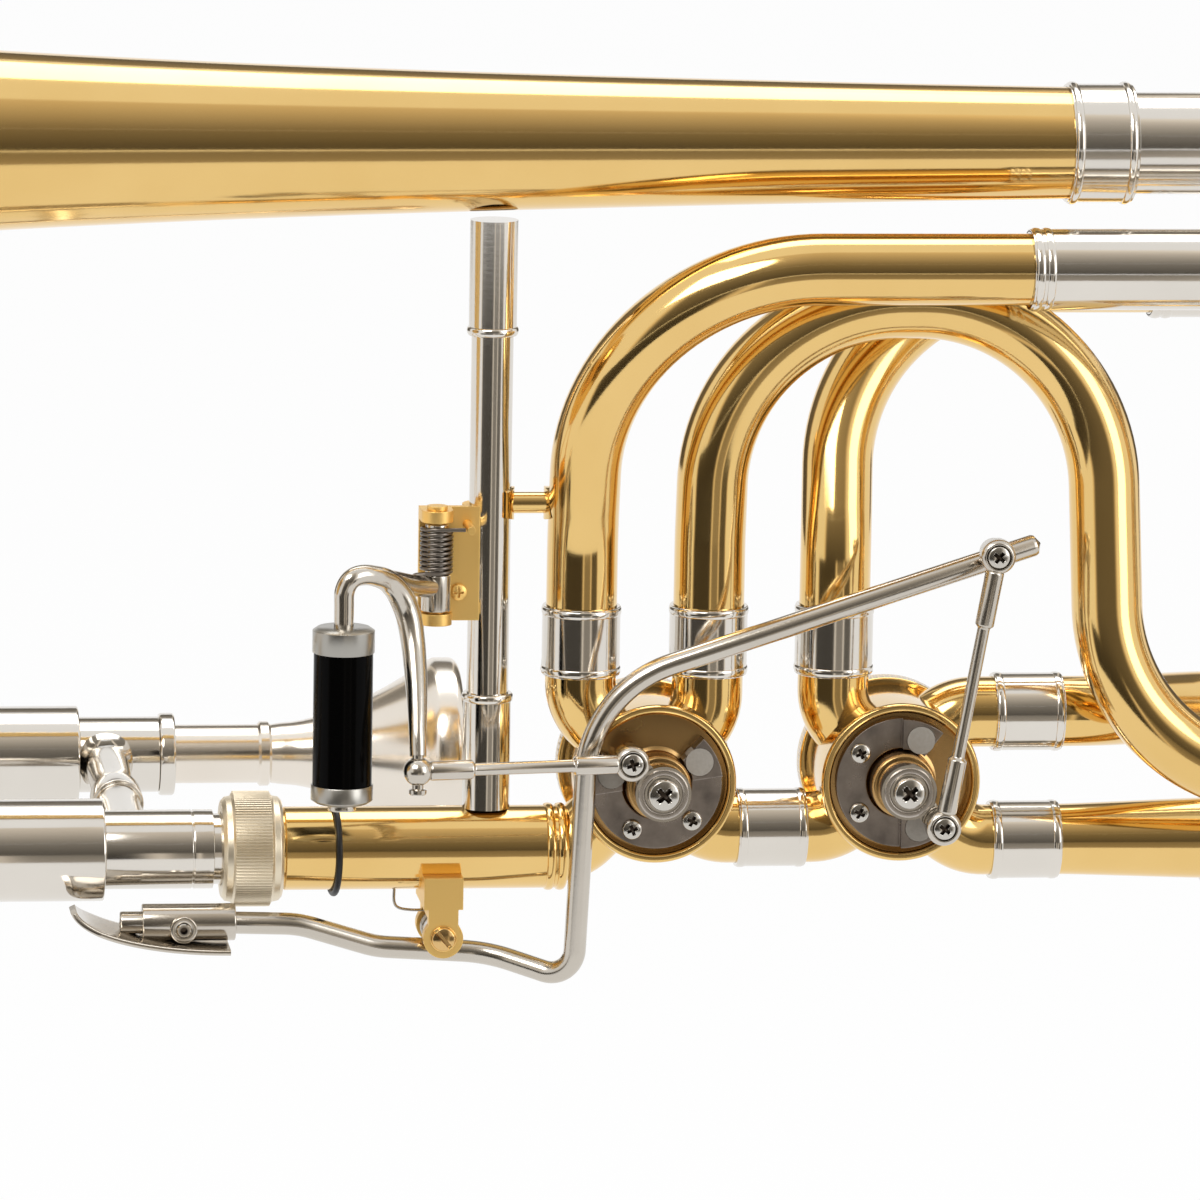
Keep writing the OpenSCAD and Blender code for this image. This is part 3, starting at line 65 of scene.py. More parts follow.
def roundAngles(count):
    # Even steps round a full turn.
    return np.linspace(0, 2 * np.pi, count, endpoint=False)


def pairs(x, r):
    # Points of a profile, from their distances and radii.
    return np.stack([x, r], 1).tolist()


def placed(name, data):
    # An object for a mesh, a lamp or a camera, put in the scene.
    thing = bpy.data.objects.new(name, data)
    bpy.context.scene.collection.objects.link(thing)
    return thing


def makeSurface(name, grid, loopRows=False):
    # Quads between neighbouring points of a grid whose columns close on themselves.
    rows, cols = grid.shape[:2]
    index = np.arange(rows * cols).reshape(rows, cols)
    i, j = np.meshgrid(np.arange(rows if loopRows else rows - 1), np.arange(cols), indexing="ij")
    i2, j2 = (i + 1) % rows, (j + 1) % cols
    quads = np.stack([index[i, j], index[i2, j], index[i2, j2], index[i, j2]], -1)
    faces = quads.reshape(-1, 4).tolist()
    if not loopRows:
        faces += [index[0].tolist(), index[-1][::-1].tolist()]
    mesh = bpy.data.meshes.new(name)
    mesh.from_pydata((grid.reshape(-1, 3) * mm).tolist(), [], faces)
    return finishMesh(name, mesh)


def finishMesh(name, mesh):
    # Outward faces, smooth shading, and edges kept crisp where the surface turns hard.
    work = bmesh.new()
    work.from_mesh(mesh)
    bmesh.ops.remove_doubles(work, verts=work.verts, dist=1e-7)
    bmesh.ops.recalc_face_normals(work, faces=work.faces)
    work.to_mesh(mesh)
    work.free()
    mesh.polygons.foreach_set("use_smooth", [True] * len(mesh.polygons))
    mesh.set_sharp_from_angle(angle=math.radians(36))
    return placed(name, mesh)


def joined(name, pieces):
    # Several finished surfaces kept as one object.
    mesh = bpy.data.meshes.new(name)
    work = bmesh.new()
    for piece in pieces:
        work.from_mesh(piece.data)
        bpy.data.objects.remove(piece)
    work.to_mesh(mesh)
    work.free()
    mesh.polygons.foreach_set("use_smooth", [True] * len(mesh.polygons))
    return placed(name, mesh)


def soften(points, radius, closed=True, steps=4):
    # Each corner of a profile becomes a short parabola that starts radius away from it.
    p = np.asarray(points, float)
    r = np.broadcast_to(np.asarray(radius, float).reshape(-1, 1), (len(p), 1))

    def towards(neighbour):
        way = neighbour - p
        length = np.maximum(np.linalg.norm(way, axis=1), 1e-9)[:, None]
        return p + way / length * np.minimum(r, 0.45 * length)

    a, b = towards(np.roll(p, 1, 0)), towards(np.roll(p, -1, 0))
    t = np.linspace(0, 1, steps)[None, :, None]
    curve = (1 - t) ** 2 * a[:, None] + 2 * t * (1 - t) * p[:, None] + t ** 2 * b[:, None]
    if not closed:
        return np.concatenate([p[:1], curve[1:-1].reshape(-1, 2), p[-1:]])
    return curve.reshape(-1, 2)


def axesFor(axis):
    # Two directions square to an axis, and the axis.
    z = unit(axis)
    x = unit(np.cross(z, [0, 0, 1] if abs(z[2]) < 0.9 else [0, 1, 0]))
    return x, np.cross(z, x), z


def turned(name, profile, at, axis=(1, 0, 0), wave=None, steps=None):
    # Revolves pairs of (distance along the axis, radius) about the axis through a point. A wave
    # adds to the radius by place and angle. A profile that ends at the axis stays open.
    x, y, z = axesFor(axis)
    a = roundAngles(steps or around)
    p = np.asarray(profile, float)
    r = p[:, 1:2] * np.ones((1, len(a)))
    if wave is not None:
        r = r + wave(p[:, :1], a[None, :], r)
    spoke = np.cos(a)[None, :, None] * x + np.sin(a)[None, :, None] * y
    grid = np.asarray(at, float) + p[:, :1, None] * z + r[..., None] * spoke
    return makeSurface(name, grid, loopRows=p[-1, 1] > axisRadius)


def shell(outer, inner, length):
    # Closed profile of a plain tube wall.
    return [[0, inner], [0, outer], [length, outer], [length, inner]]


def toAxis(profile):
    # The profile of something solid: led in to the axis, all but a hair, at both ends.
    return [[profile[0][0], axisRadius]] + profile + [[profile[-1][0], axisRadius]]


def bead(middle, radius, height, width):
    # Half an ellipse on a profile: half its width either way, its height outward.
    t = np.linspace(0, np.pi, 9)
    return pairs(middle - np.cos(t) * width / 2, radius + np.sin(t) * height)


def beadedSleeve(length, outer, inner, beads, height=0.5, width=1.7):
    # Tube wall whose outside carries half round beads, given by their middles.
    edge = 0.12
    out = [[edge, outer]]
    for middle in beads:
        out += bead(middle, outer, height, width)
    out += [[length - edge, outer]]
    return [[0, inner], [0, outer - edge]] + out + [[length, outer - edge], [length, inner]]


def bentLine(corners, radii, arcStep=4.0):
    # Straight lines joined by arcs, as one run of points. An arc starts its radius times the
    # tangent of half the turn before its corner.
    c = np.asarray(corners, float)
    run = [c[:1]]
    for i in range(1, len(c) - 1):
        d, e = unit(c[i] - c[i - 1]), unit(c[i + 1] - c[i])
        turn = math.acos(max(-1, min(1, float(d @ e))))
        if turn < 1e-4:
            continue
        trim = radii[i] * math.tan(turn / 2)
        inward = unit(e - (d @ e) * d)
        centre = c[i] - d * trim + inward * radii[i]
        a = np.linspace(0, turn, max(3, int(math.degrees(turn) / arcStep) + 1))[:, None]
        run.append(centre - inward * radii[i] * np.cos(a) + d * radii[i] * np.sin(a))
    run.append(c[-1:])
    return np.concatenate(run)


def smoothLine(points, count):
    # Catmull-Rom run through the points: a cubic between each two, which leaves a point in the
    # direction of the line between its neighbours.
    p = np.asarray(points, float)
    p = np.concatenate([2 * p[:1] - p[1:2], p, 2 * p[-1:] - p[-2:-1]])
    t = np.linspace(0, len(p) - 3 - 1e-6, count)
    k = t.astype(int)
    u = (t - k)[:, None]
    a, b, c, d = p[k], p[k + 1], p[k + 2], p[k + 3]
    square = 2 * a - 5 * b + 4 * c - d
    cube = 3 * b - a - 3 * c + d
    return 0.5 * (2 * b + (c - a) * u + square * u ** 2 + cube * u ** 3)


def carried(name, path, radius, steps=None, dome=0.0, section=None, first=None):
    # A circle, or a section of (side, other) pairs, carried along a path without twist;
    # dome rounds the two ends.
    path = np.asarray(path, float)
    radius = np.broadcast_to(np.asarray(radius, float), (len(path),)).copy()
    tangent = np.gradient(path, axis=0)
    tangent /= np.linalg.norm(tangent, axis=1)[:, None]
    tangent[0], tangent[-1] = unit(path[1] - path[0]), unit(path[-1] - path[-2])
    start = axesFor(tangent[0])[0] if first is None else np.asarray(first, float)
    side = [unit(start - (start @ tangent[0]) * tangent[0])]
    for t in tangent[1:]:
        side.append(unit(side[-1] - (side[-1] @ t) * t))
    side = np.array(side)
    if dome > 0:
        lift = np.array([0.0, 0.5, 0.85])
        shrink = np.sqrt(1 - (1 - lift) ** 2) * 0.98 + 0.02
        keep = slice(1, -1)

        def ends(rows):
            return np.concatenate([np.repeat(rows[:1], 3, 0), rows[keep], np.repeat(rows[-1:], 3, 0)])

        head = path[0] + tangent[0] * (lift * dome)[:, None]
        tail = path[-1] - tangent[-1] * (lift[::-1] * dome)[:, None]
        path = np.concatenate([head, path[keep], tail])
        tangent, side = ends(tangent), ends(side)
        radius = np.concatenate([radius[0] * shrink, radius[keep], radius[-1] * shrink[::-1]])
    other = np.cross(tangent, side)
    a = roundAngles(steps or around)
    outline = np.stack([np.cos(a), np.sin(a)], 1) if section is None else np.asarray(section, float)
    outline = np.broadcast_to(outline, (len(path),) + outline.shape[-2:])
    ring = outline[..., :1] * side[:, None] + outline[..., 1:] * other[:, None]
    return makeSurface(name, path[:, None] + radius[:, None, None] * ring)


def bow(name, y, low, high, start, turnX, radius):
    # Tube that runs out at one height, from turnX round half a circle, and back at the other.
    half = (high - low) / 2
    corners = [[start, y, low], [turnX + half, y, low], [turnX + half, y, high], [start, y, high]]
    return carried(name, bentLine(corners, [0, half - 0.01, half - 0.01, 0]), radius)


def markRecess(piece, at, axis, share):
    # Writes how deep each point lies in a recess, from its place along the axis and its radius.
    # The screw finishes darken their base colour by this share, as painted shade in the recess.
    co = np.zeros(len(piece.data.vertices) * 3)
    piece.data.vertices.foreach_get("co", co)
    local = co.reshape(-1, 3) / mm - np.asarray(at, float)
    along = local @ unit(axis)
    radial = np.linalg.norm(local - np.outer(along, unit(axis)), axis=1)
    depth = piece.data.attributes.new("recess", "FLOAT", "POINT")
    depth.data.foreach_set("value", share(along, radial).astype(float))


def screwHead(name, at, axis, d, h, cross=True, turnBy=0.4):
    # Height over a disc: a low dome with a chamfered edge, less a cross or a slot that is
    # deep where the distance from the slot's middle line is under half its width.
    dome, chamfer, deep, half = 0.10 * d, 0.09 * d, 0.24 * d, 0.062 * d
    reach = (0.25 if cross else 0.6) * d
    x, y, z = axesFor(axis)
    r = np.concatenate([np.linspace(0.001, 0.34, 16), np.linspace(0.36, 0.5, 10)]) * d
    a = roundAngles(96)
    rr, aa = np.meshgrid(r, a, indexing="ij")
    u, v = rr * np.cos(aa - turnBy), rr * np.sin(aa - turnBy)
    share = 2 * rr / d
    top = h - dome * share ** 2 - chamfer * np.clip((share - 0.86) / 0.14, 0, 1) ** 2

    def groove(across, along):
        inside = np.clip((half - np.abs(across)) / (0.03 * d) + 0.5, 0, 1)
        return inside * np.clip((reach - np.abs(along)) / (0.05 * d) + 0.5, 0, 1)

    cut = np.maximum(groove(u, v), groove(v, u)) if cross else groove(u, v)
    height = top - cut * deep
    skirt = np.zeros((1, len(a)))
    rows = ((rr, rr[-1:]), (aa, aa[-1:]), (height, skirt))
    rr, aa, height = (np.concatenate([m, last]) for m, last in rows)
    spoke = np.cos(aa)[..., None] * x + np.sin(aa)[..., None] * y
    grid = np.asarray(at, float) + rr[..., None] * spoke
    piece = makeSurface(name, grid + height[..., None] * z)

    # Share of painted shade: the deeper a point lies in the cross or slot, the darker it is painted.
    def cutShare(along, radial):
        full = h - dome * (2 * radial / d) ** 2
        return np.clip((full - along) / deep, 0, 1) * (radial < 0.45 * d)

    markRecess(piece, at, z, cutShare)
    return piece


print("helpers ready")


# Finishes
def newMaterial(name):
    # A material with its node tree and its shader.
    material = bpy.data.materials.new(name)
    material.use_nodes = True
    return material, material.node_tree, material.node_tree.nodes["Principled BSDF"]


def feed(tree, node, inputs):
    # Another node's output is linked to the input; anything else becomes its value.
    for key, value in inputs.items():
        if isinstance(value, bpy.types.NodeSocket):
            tree.links.new(value, node.inputs[key])
        else:
            node.inputs[key].default_value = value
    return node


def fresh(tree, kind, inputs=None):
    # A new node, fed at once.
    return feed(tree, tree.nodes.new("ShaderNode" + kind), inputs or {})


def noise(tree, place, scale, detail):
    # A cloudy share that changes with place.
    return fresh(tree, "TexNoise", {"Vector": place, "Scale": scale, "Detail": detail}).outputs["Fac"]


def blend(tree, shader, share, first, second):
    # Base colour that runs from the first colour to the second by a share.
    colour = fresh(tree, "MixRGB", {"Fac": share, "Color1": first, "Color2": second}).outputs["Color"]
    feed(tree, shader, {"Base Color": colour})
    return colour


def stored(tree, name):
    # The share that a mesh keeps at its points under a name.
    attribute = fresh(tree, "Attribute")
    attribute.attribute_name = name
    return attribute.outputs["Fac"]


def metalFinish(name, bright, dark, rough, spread, scratch, grain=(900, 900, 900), cloudScale=45,
                coat=0.0, edge=0, recessShade=None):
    # Metal with faint polishing lines, a cloudy gloss and a slow change of colour. Where asked, its
    # edges look softened and painted shade darkens the depths of its recesses.
    material, tree, shader = newMaterial(name)
    place = fresh(tree, "TexCoord").outputs["Object"]
    stretch = fresh(tree, "Mapping", {"Vector": place, "Scale": grain})
    lines = noise(tree, stretch.outputs["Vector"], 1.0, 3.0)
    cloud = noise(tree, place, cloudScale, 4.0)
    colour = blend(tree, shader, cloud, (*bright, 1), (*dark, 1))
    gloss = fresh(tree, "Math", {0: cloud, 1: spread, 2: rough - spread / 2})
    gloss.operation = "MULTIPLY_ADD"
    bump = fresh(tree, "Bump", {"Height": lines, "Strength": scratch, "Distance": 0.00002})
    if edge:
        bevel = fresh(tree, "Bevel", {"Radius": edge * mm})
        bevel.samples = 6
        feed(tree, bump, {"Normal": bevel.outputs["Normal"]})
    # Painted shade: the deeper a point lies in a recess, the nearer its base colour comes to the dark
    # recess colour.
    if recessShade:
        blend(tree, shader, stored(tree, "recess"), colour, (*recessShade, 1))
    feed(tree, shader, {
        "Roughness": gloss.outputs["Value"], "Normal": bump.outputs["Normal"], "Metallic": 1.0,
        "Coat Weight": coat, "Coat Roughness": 0.06, "Coat IOR": 1.5})
    return material


def softFinish(name, bright, dark, rough, pitScale, pitDepth, gloss=0.5):
    # Rubber, plastic or cork: a dielectric with fine pits.
    material, tree, shader = newMaterial(name)
    pits = noise(tree, fresh(tree, "TexCoord").outputs["Object"], pitScale, 5.0)
    blend(tree, shader, pits, (*bright, 1), (*dark, 1))
    bump = fresh(tree, "Bump", {"Height": pits, "Strength": pitDepth, "Distance": 0.00005})
    feed(tree, shader, {"Normal": bump.outputs["Normal"], "Roughness": rough,
                        "Specular IOR Level": gloss})
    return material


# Two colours, roughness, its spread and the depth of the scratches; softer ones: size and depth of pits
finish = {
    "brass": metalFinish("lacqueredBrass", (0.84, 0.58, 0.225), (0.76, 0.50, 0.17), 0.11, 0.05, 0.12,
                         grain=(260, 1400, 1400), coat=0.35),
    "nickel": metalFinish("polishedNickel", (0.76, 0.72, 0.66), (0.68, 0.64, 0.58), 0.12, 0.06, 0.2,
                          grain=(220, 1500, 1500)),
    "bearing": metalFinish("turnedBrass", (0.62, 0.48, 0.26), (0.5, 0.38, 0.2), 0.3, 0.1, 0.3),
    # plate: rough nickel mottled towards near black, as painted shade that stands in for the dark
    # reflections on the stop plates
    "plate": metalFinish("dullNickelPaintedShade", (0.56, 0.485, 0.425), (0.03, 0.022, 0.018), 0.29, 0.2, 0.5,
                         edge=0.3, cloudScale=160),
    "nut": metalFinish("warmNickel", (0.86, 0.76, 0.59), (0.76, 0.67, 0.51), 0.38, 0.08, 0.25),
    "silver": metalFinish("silverPlate", (0.84, 0.78, 0.70), (0.76, 0.69, 0.60), 0.19, 0.05, 0.15),
    "cap": metalFinish("turnedAluminium", (0.44, 0.425, 0.39), (0.37, 0.355, 0.32), 0.3, 0.08, 0.5,
                       grain=(300, 300, 2600)),
    "spring": metalFinish("springWire", (0.24, 0.21, 0.18), (0.15, 0.13, 0.11), 0.28, 0.1, 0.2),
    "springBright": metalFinish("brightSpringWire", (0.56, 0.53, 0.48), (0.44, 0.41, 0.37), 0.2, 0.08,
                                0.2),
    # hub: nickel darkened as painted shade, standing in for a darker reflection on the hub rings
    "hub": metalFinish("hubNickel", (0.55, 0.50, 0.45), (0.45, 0.41, 0.37), 0.24, 0.1, 0.3, edge=0.12),
    # screw and screwBrass: their last colour is painted shade for the recesses of their heads
    "screw": metalFinish("screwNickel", (0.62, 0.59, 0.54), (0.54, 0.51, 0.46), 0.16, 0.06, 0.2,
                         recessShade=(0.075, 0.06, 0.048)),
    "screwBrass": metalFinish("screwBrass", (0.78, 0.53, 0.23), (0.66, 0.42, 0.17), 0.16, 0.06, 0.2,
                              recessShade=(0.10, 0.05, 0.02)),
    "bracketBrass": metalFinish("satinBrass", (1.0, 0.68, 0.24), (0.95, 0.61, 0.19), 0.42, 0.12, 0.25,
                                edge=0.25),
    "lever": metalFinish("satinNickel", (0.64, 0.595, 0.53), (0.53, 0.485, 0.42), 0.18, 0.08, 0.3,
                         grain=(500, 500, 900)),
    "floorBrass": metalFinish("dullBrass", (0.54, 0.34, 0.14), (0.40, 0.245, 0.095), 0.26, 0.12, 0.3),
    "roller": softFinish("glossBlack", (0.0008, 0.0007, 0.0007), (0.0015, 0.0014, 0.0013), 0.15,
                         900, 0.05, gloss=0.04),
    "rubber": softFinish("blackRubber", (0.008, 0.008, 0.008), (0.014, 0.013, 0.012), 0.4, 1500, 0.3,
                         gloss=0.3),
    "bumper": softFinish("whiteNeoprene", (0.32, 0.29, 0.25), (0.24, 0.215, 0.18), 0.6, 1500, 0.3),
    "cork": softFinish("corkPad", (0.42, 0.26, 0.12), (0.22, 0.12, 0.05), 0.8, 900, 0.8),
}
finishOfSlot = {
    "lacquered_brass": "brass", "nickel": "nickel", "silver_plate": "silver", "rotor_brass": "bearing",
    "nut_metal": "nut", "black_rubber": "rubber", "black_roller": "roller", "white_bumper": "bumper",
    "aluminium": "cap", "spring_steel": "spring", "cork": "cork"}
slotOfFinish = {value: key for key, value in finishOfSlot.items()}
slotOfFinish.update({
    "plate": "nickel", "screw": "nickel", "lever": "nickel", "hub": "nickel",
    "floorBrass": "lacquered_brass", "screwBrass": "lacquered_brass", "bracketBrass": "lacquered_brass",
    "springBright": "spring_steel"})
slotOfNode = {part["node"]: part["material_slot"] for part in frame["record"]["subparts"]}


def dress(piece, finishName):
    # The finish becomes the piece's only material.
    piece.data.materials.clear()
    piece.data.materials.append(finish[finishName])


for name, node in nodes.items():
    dress(node, finishOfSlot[slotOfNode[name]])
dress(nodes["stop_plates"], "plate")
for name in ("thumb_bracket", "lever_2_post", "bracket_pins"):
    dress(nodes[name], "bracketBrass")
print("finishes ready")


def fitted(piece, body, finishName, *replaced):
    # Gives a piece its finish and its body, and lets it stand for its plain nodes.
    dress(piece, finishName)
    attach(piece, body)
    if replaced:
        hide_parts(*replaced)
    return piece


# Bell
bell = {"rim": 241.0, "stem": 24.0, "flare": 34.0, "rimX": -335.0, "stemX": 125.0, "wall": 0.7,
        "wire": 4.6, "wireX": 0.46}
bellLength = bell["stemX"] - bell["rimX"]


def bellRadius(s):
    # Half the stem's width, and of the rest up to the rim the share by which flare over (distance
    # from the rim plus flare) stands above its value at the stem.
    opening = bell["flare"] / (s + bell["flare"])
    least = bell["flare"] / (bellLength + bell["flare"])
    return bell["stem"] / 2 + (bell["rim"] - bell["stem"]) / 2 * (opening - least) / (1 - least)


def makeBell():
    # Up the outside, round a circle for the rim wire, and down the inside, one wall further in.
    s = bellLength * np.linspace(0, 1, 120) ** 2.2
    r = bellRadius(s)
    t = np.linspace(np.radians(100), np.radians(-170), 22)
    wire = bell["wire"] / 2
    roll = pairs(bell["wireX"] + wire * np.sin(t), bell["rim"] / 2 + wire * np.cos(t))
    profile = pairs(s, r)[:0:-1] + roll + pairs(s, r - bell["wall"])[1:]
    piece = turned("bellFlare", profile, (bell["rimX"], 0, bellZ), steps=around * 2)
    fitted(piece, "frame", "brass", "bell")


makeBell()

# Main tuning slide. A sleeve: its place along X and Z, then length, outside, inside and beads. A leg:
# its Z, its radius and its ferrule's radius
tuning = {
    "sleeves": [(123, bellZ, (92, 10.95, 10.35, [90.9])), (123, bellZ, (14, 12.72, 12.07, [1.2, 12.6])),
                (157, returnZ, (58, 9.45, 8.85, [1.2, 56.9]))],
    "legs": [(bellZ, 10.3, 10.9), (returnZ, 8.8, 10.1)], "legX": 167, "legWall": 0.5, "legLength": 61,
    "ferruleX": 221, "ferruleWall": 0.55, "bowX": 229, "turnX": 239, "bow": 9.5, "postX": 233,
    "post": [[9.8, 5], [13, 4.2], [15, 3.2], [136.3, 3.2], [138.3, 4.2], [141.7, 5]]}


def makeMainTuning():
    # Sleeves on the frame. The legs reach into them and end in ferrules on the bow, and a post that
    # is wide at both ends ties them.
    v = tuning
    sleeves = [turned("s", beadedSleeve(*wall), (x, 0, z)) for x, z, wall in v["sleeves"]]
    fitted(joined("mainOuterTubes", sleeves), "frame", "nickel", "main_slide_sleeves")
    piece = bow("mainBow", 0, returnZ, bellZ, v["bowX"], v["turnX"], v["bow"])
    fitted(piece, "main_tuning_slide", "brass", "main_tuning_bow")
    legs = []
    for z, r, f in v["legs"]:
        leg = shell(r, r - v["legWall"], v["legLength"])
        ferrule = beadedSleeve(17, f, f - v["ferruleWall"], [1.2, 15.8])
        legs += [turned("l", leg, (v["legX"], 0, z)), turned("f", ferrule, (v["ferruleX"], 0, z))]
    post = soften(toAxis(v["post"]), 0.8, False)
    legs.append(turned("p", post, (v["postX"], 0, returnZ), upward))
    fitted(joined("mainLegs", legs), "main_tuning_slide", "nickel", "main_tuning_legs")


makeMainTuning()

# Valve loops: how far each branch lies from its valve's axis, and how the elbows bend. The walls of
# sleeves, ferrules and legs list length, outside, inside, and beads with their height and width
loops = {"reach": 21.7, "legA": 15.2, "legB": 12.4, "legC": 13.2, "lineD": 12.8, "mid": 12.4,
         "entry": 16.2, "entryX": 1.2, "entryBend": 9.0, "exit": 15.5, "knuckle": 12.0, "portOut": 14.0,
         "ferrule": (15, 8.43, 7.68, [1.1, 13.9], 0.2, 1.6)}
ferruleEnd = loops["reach"] + loops["ferrule"][0] / 2
legZ = valveZ + ferruleEnd
legX = (valve1X - loops["legA"], valve1X + loops["legB"], valve2X - loops["legC"])
lineDZ = valveZ + loops["lineD"]
exitX = valve2X + ferruleEnd
# Each loop's Y, lower and upper Z; where its legs and its lower and upper sleeve start; where the
# sleeves end and where the bow starts
loopSlides = {"f": (-21, -57, 53.5, 188, 172, 112, 262, 280),
              "g": (21, -49, 46, 205, 172, 146, 284, 300)}
loopWalls = {"sleeve": (8.65, 8.05), "stop": (8.3, 7.67, 3), "leg": (8.0, 7.6),
             "ring": (14, 8.65, 7.7, [1.2, 12.8])}


def elbow(x, u, w, off, reach, upright, bend=loops["knuckle"]):
    # Slantwise out of a casing to the corner, off along both axes, then straight on to its reach.
    o = np.array([x, 0, valveZ])
    end = o + ([u * off, 0, w * reach] if upright else [u * reach, 0, w * off])
    corners = [o + unit([u, 0, w]) * loops["portOut"], o + off * np.array([u, 0, w]), end]
    return carried("elbow", bentLine(corners, [0, bend, 0]), tubeRadius)


def makeElbows():
    # Four to a valve, and six beaded ferrules of one size where they meet the tubes.
    v, half, end = loops, line["valvePitch"] / 2, ferruleEnd
    elbows = [elbow(*row) for row in (
        (valve1X, -1, 1, v["legA"], end, True), (valve1X, 1, 1, v["legB"], end, True),
        (valve1X, 1, -1, v["mid"], half, False),
        (valve1X, -1, -1, v["entry"], valve1X - v["entryX"], False, v["entryBend"]),
        (valve2X, -1, 1, v["legC"], end, True), (valve2X, 1, 1, v["lineD"], end, False),
        (valve2X, -1, -1, v["mid"], half, False), (valve2X, 1, -1, v["exit"], end, False))]
    fitted(joined("valveElbows", elbows), "frame", "brass", "valve_elbows")
    wall = beadedSleeve(*v["ferrule"])
    middle, far = valve1X + half - v["ferrule"][0] / 2, valve2X + v["reach"]
    rings = [turned("f", wall, (x, 0, valveZ + v["reach"]), upward) for x in legX]
    for x, z in ((far, lineDZ), (far, returnZ), (middle, valveZ - v["mid"])):
        rings.append(turned("f", wall, (x, 0, z)))
    fitted(joined("portFerrules", rings), "frame", "nickel", "port_ferrules")


def makeValveTubes():
    # Tubes through the corners of each run, bent there with the radii beside them.
    a, b, c = legX
    (fy, fLow, fHigh), (gy, gLow, gHigh) = loopSlides["f"][:3], loopSlides["g"][:3]
    runs = {
        "fUpperTube": ("f_upper_tube", [0, 40, 48, 0], [
            [a, 0, legZ], [a, 0, -6], [a - 1, fy, fHigh], [120, fy, fHigh]]),
        "fArchTube": ("f_arch_tube", [0, 40, 40, 40, 38, 0], [
            [b, 0, legZ], [b, 0, -8], [b + 0.5, -4, 44], [b + 83, -4, 44], [b + 85, fy, fLow],
            [180, fy, fLow]]),
        "gUpperTube": ("g_upper_tube", [0, 30, 44, 0], [
            [c, 0, legZ], [c, 0, -8], [c + 3, gy, gHigh], [154, gy, gHigh]]),
        "gLowerTube": ("g_lower_tube", [0, 24, 24, 0], [
            [exitX, 0, lineDZ], [exitX + 16, 0, lineDZ], [160, gy, gLow], [180, gy, gLow]])}
    for name, (node, radii, corners) in runs.items():
        fitted(carried(name, bentLine(corners, radii, 3), tubeRadius), "frame", "brass", node)


def makeReturnTube():
    # Straight, then evenly wider up to the main slide's lower leg, and straight inside its sleeve.
    length, wide = tuning["sleeves"][2][0] - exitX, tuning["legs"][1][1]
    cone = toAxis([[0, tubeRadius], [8.5, tubeRadius], [length, wide], [length + 8, wide]])
    profile = soften(cone, [0, 0, 6, 6, 0, 0], False, 6)
    fitted(turned("returnTube", profile, (exitX, 0, returnZ)), "frame", "brass", "return_tube")


def makeLoopSlides():
    # Each loop: two beaded sleeves with a stop inside, and a bow on two legs that fit into them.
    w = loopWalls
    for letter, (y, low, high, legStart, lowX, highX, end, bowX) in loopSlides.items():
        sleeves, parts = [], [bow("bow", y, low, high, legStart, bowX, tubeRadius)]
        for z, x in ((low, lowX), (high, highX)):
            wall = beadedSleeve(end - x, *w["sleeve"], [1.3, 3.6, end - x - 1.3], 0.28)
            sleeves += [turned("s", wall, (x, y, z)), turned("s", shell(*w["stop"]), (x, y, z))]
            parts += [turned("l", shell(*w["leg"], bowX - legStart), (legStart, y, z)),
                      turned("r", beadedSleeve(*w["ring"]), (bowX - w["ring"][0] / 2, y, z))]
        fitted(joined(letter + "OuterTubes", sleeves), "frame", "nickel", letter + "_slide_sleeves")
        piece = joined(letter + "TuningBow", parts)
        fitted(piece, letter + "_tuning_slide", "brass", letter + "_tuning_bow")


makeElbows()
makeValveTubes()
makeReturnTube()
makeLoopSlides()
print("tubes ready")

# Receiver and hand brace, by profiles of distance and radius
receiver = {"tip": [[-52.8, 7.7]], "thread": (8.2, 7.85), "threadX": (-52.4, 0.4, 20),
            "shoulder": [[-43.8, 8.2], [-43.8, 8.7], [-43.5, 9.0]], "beads": (13.6, 16.1),
            "bead": (9.0, 0.5, 1.9), "end": [[17.2, 8.9], [17.2, 7.95]]}
brace = {"low": [[-66.2, 5.15]], "beads": (-42.0, 37.5), "bead": (5.15, 0.42, 1.8),
         "bar": [[-41, 5.15], [-41, 4.5], [36.5, 4.5], [36.5, 5.15]], "top": [[61.3, 5.15]]}


def makeReceiver():
    # Thread as a zigzag between crest and groove, a shoulder, and two beads at the other end.
    v = receiver
    (crest, groove), (start, pitch, count) = v["thread"], v["threadX"]
    out = list(v["tip"])
    for k in range(count):
        out.append([start + pitch * k, crest if k % 2 else groove])
    out += v["shoulder"]
    for middle in v["beads"]:
        out += bead(middle, *v["bead"])
    piece = turned("slideReceiver", out + v["end"], (0, 0, receiverZ))
    fitted(piece, "frame", "brass", "slide_receiver")


def makeHandBrace():
    # Round bar with a wider socket at each end; each socket has a bead next to its mouth.
    v = brace
    low, high = (bead(z, *v["bead"]) for z in v["beads"])
    profile = toAxis(v["low"] + low + v["bar"] + high + v["top"])
    fitted(turned("handBrace", profile, (0, 0, 0), upward), "frame", "nickel", "hand_brace")


makeReceiver()
makeHandBrace()

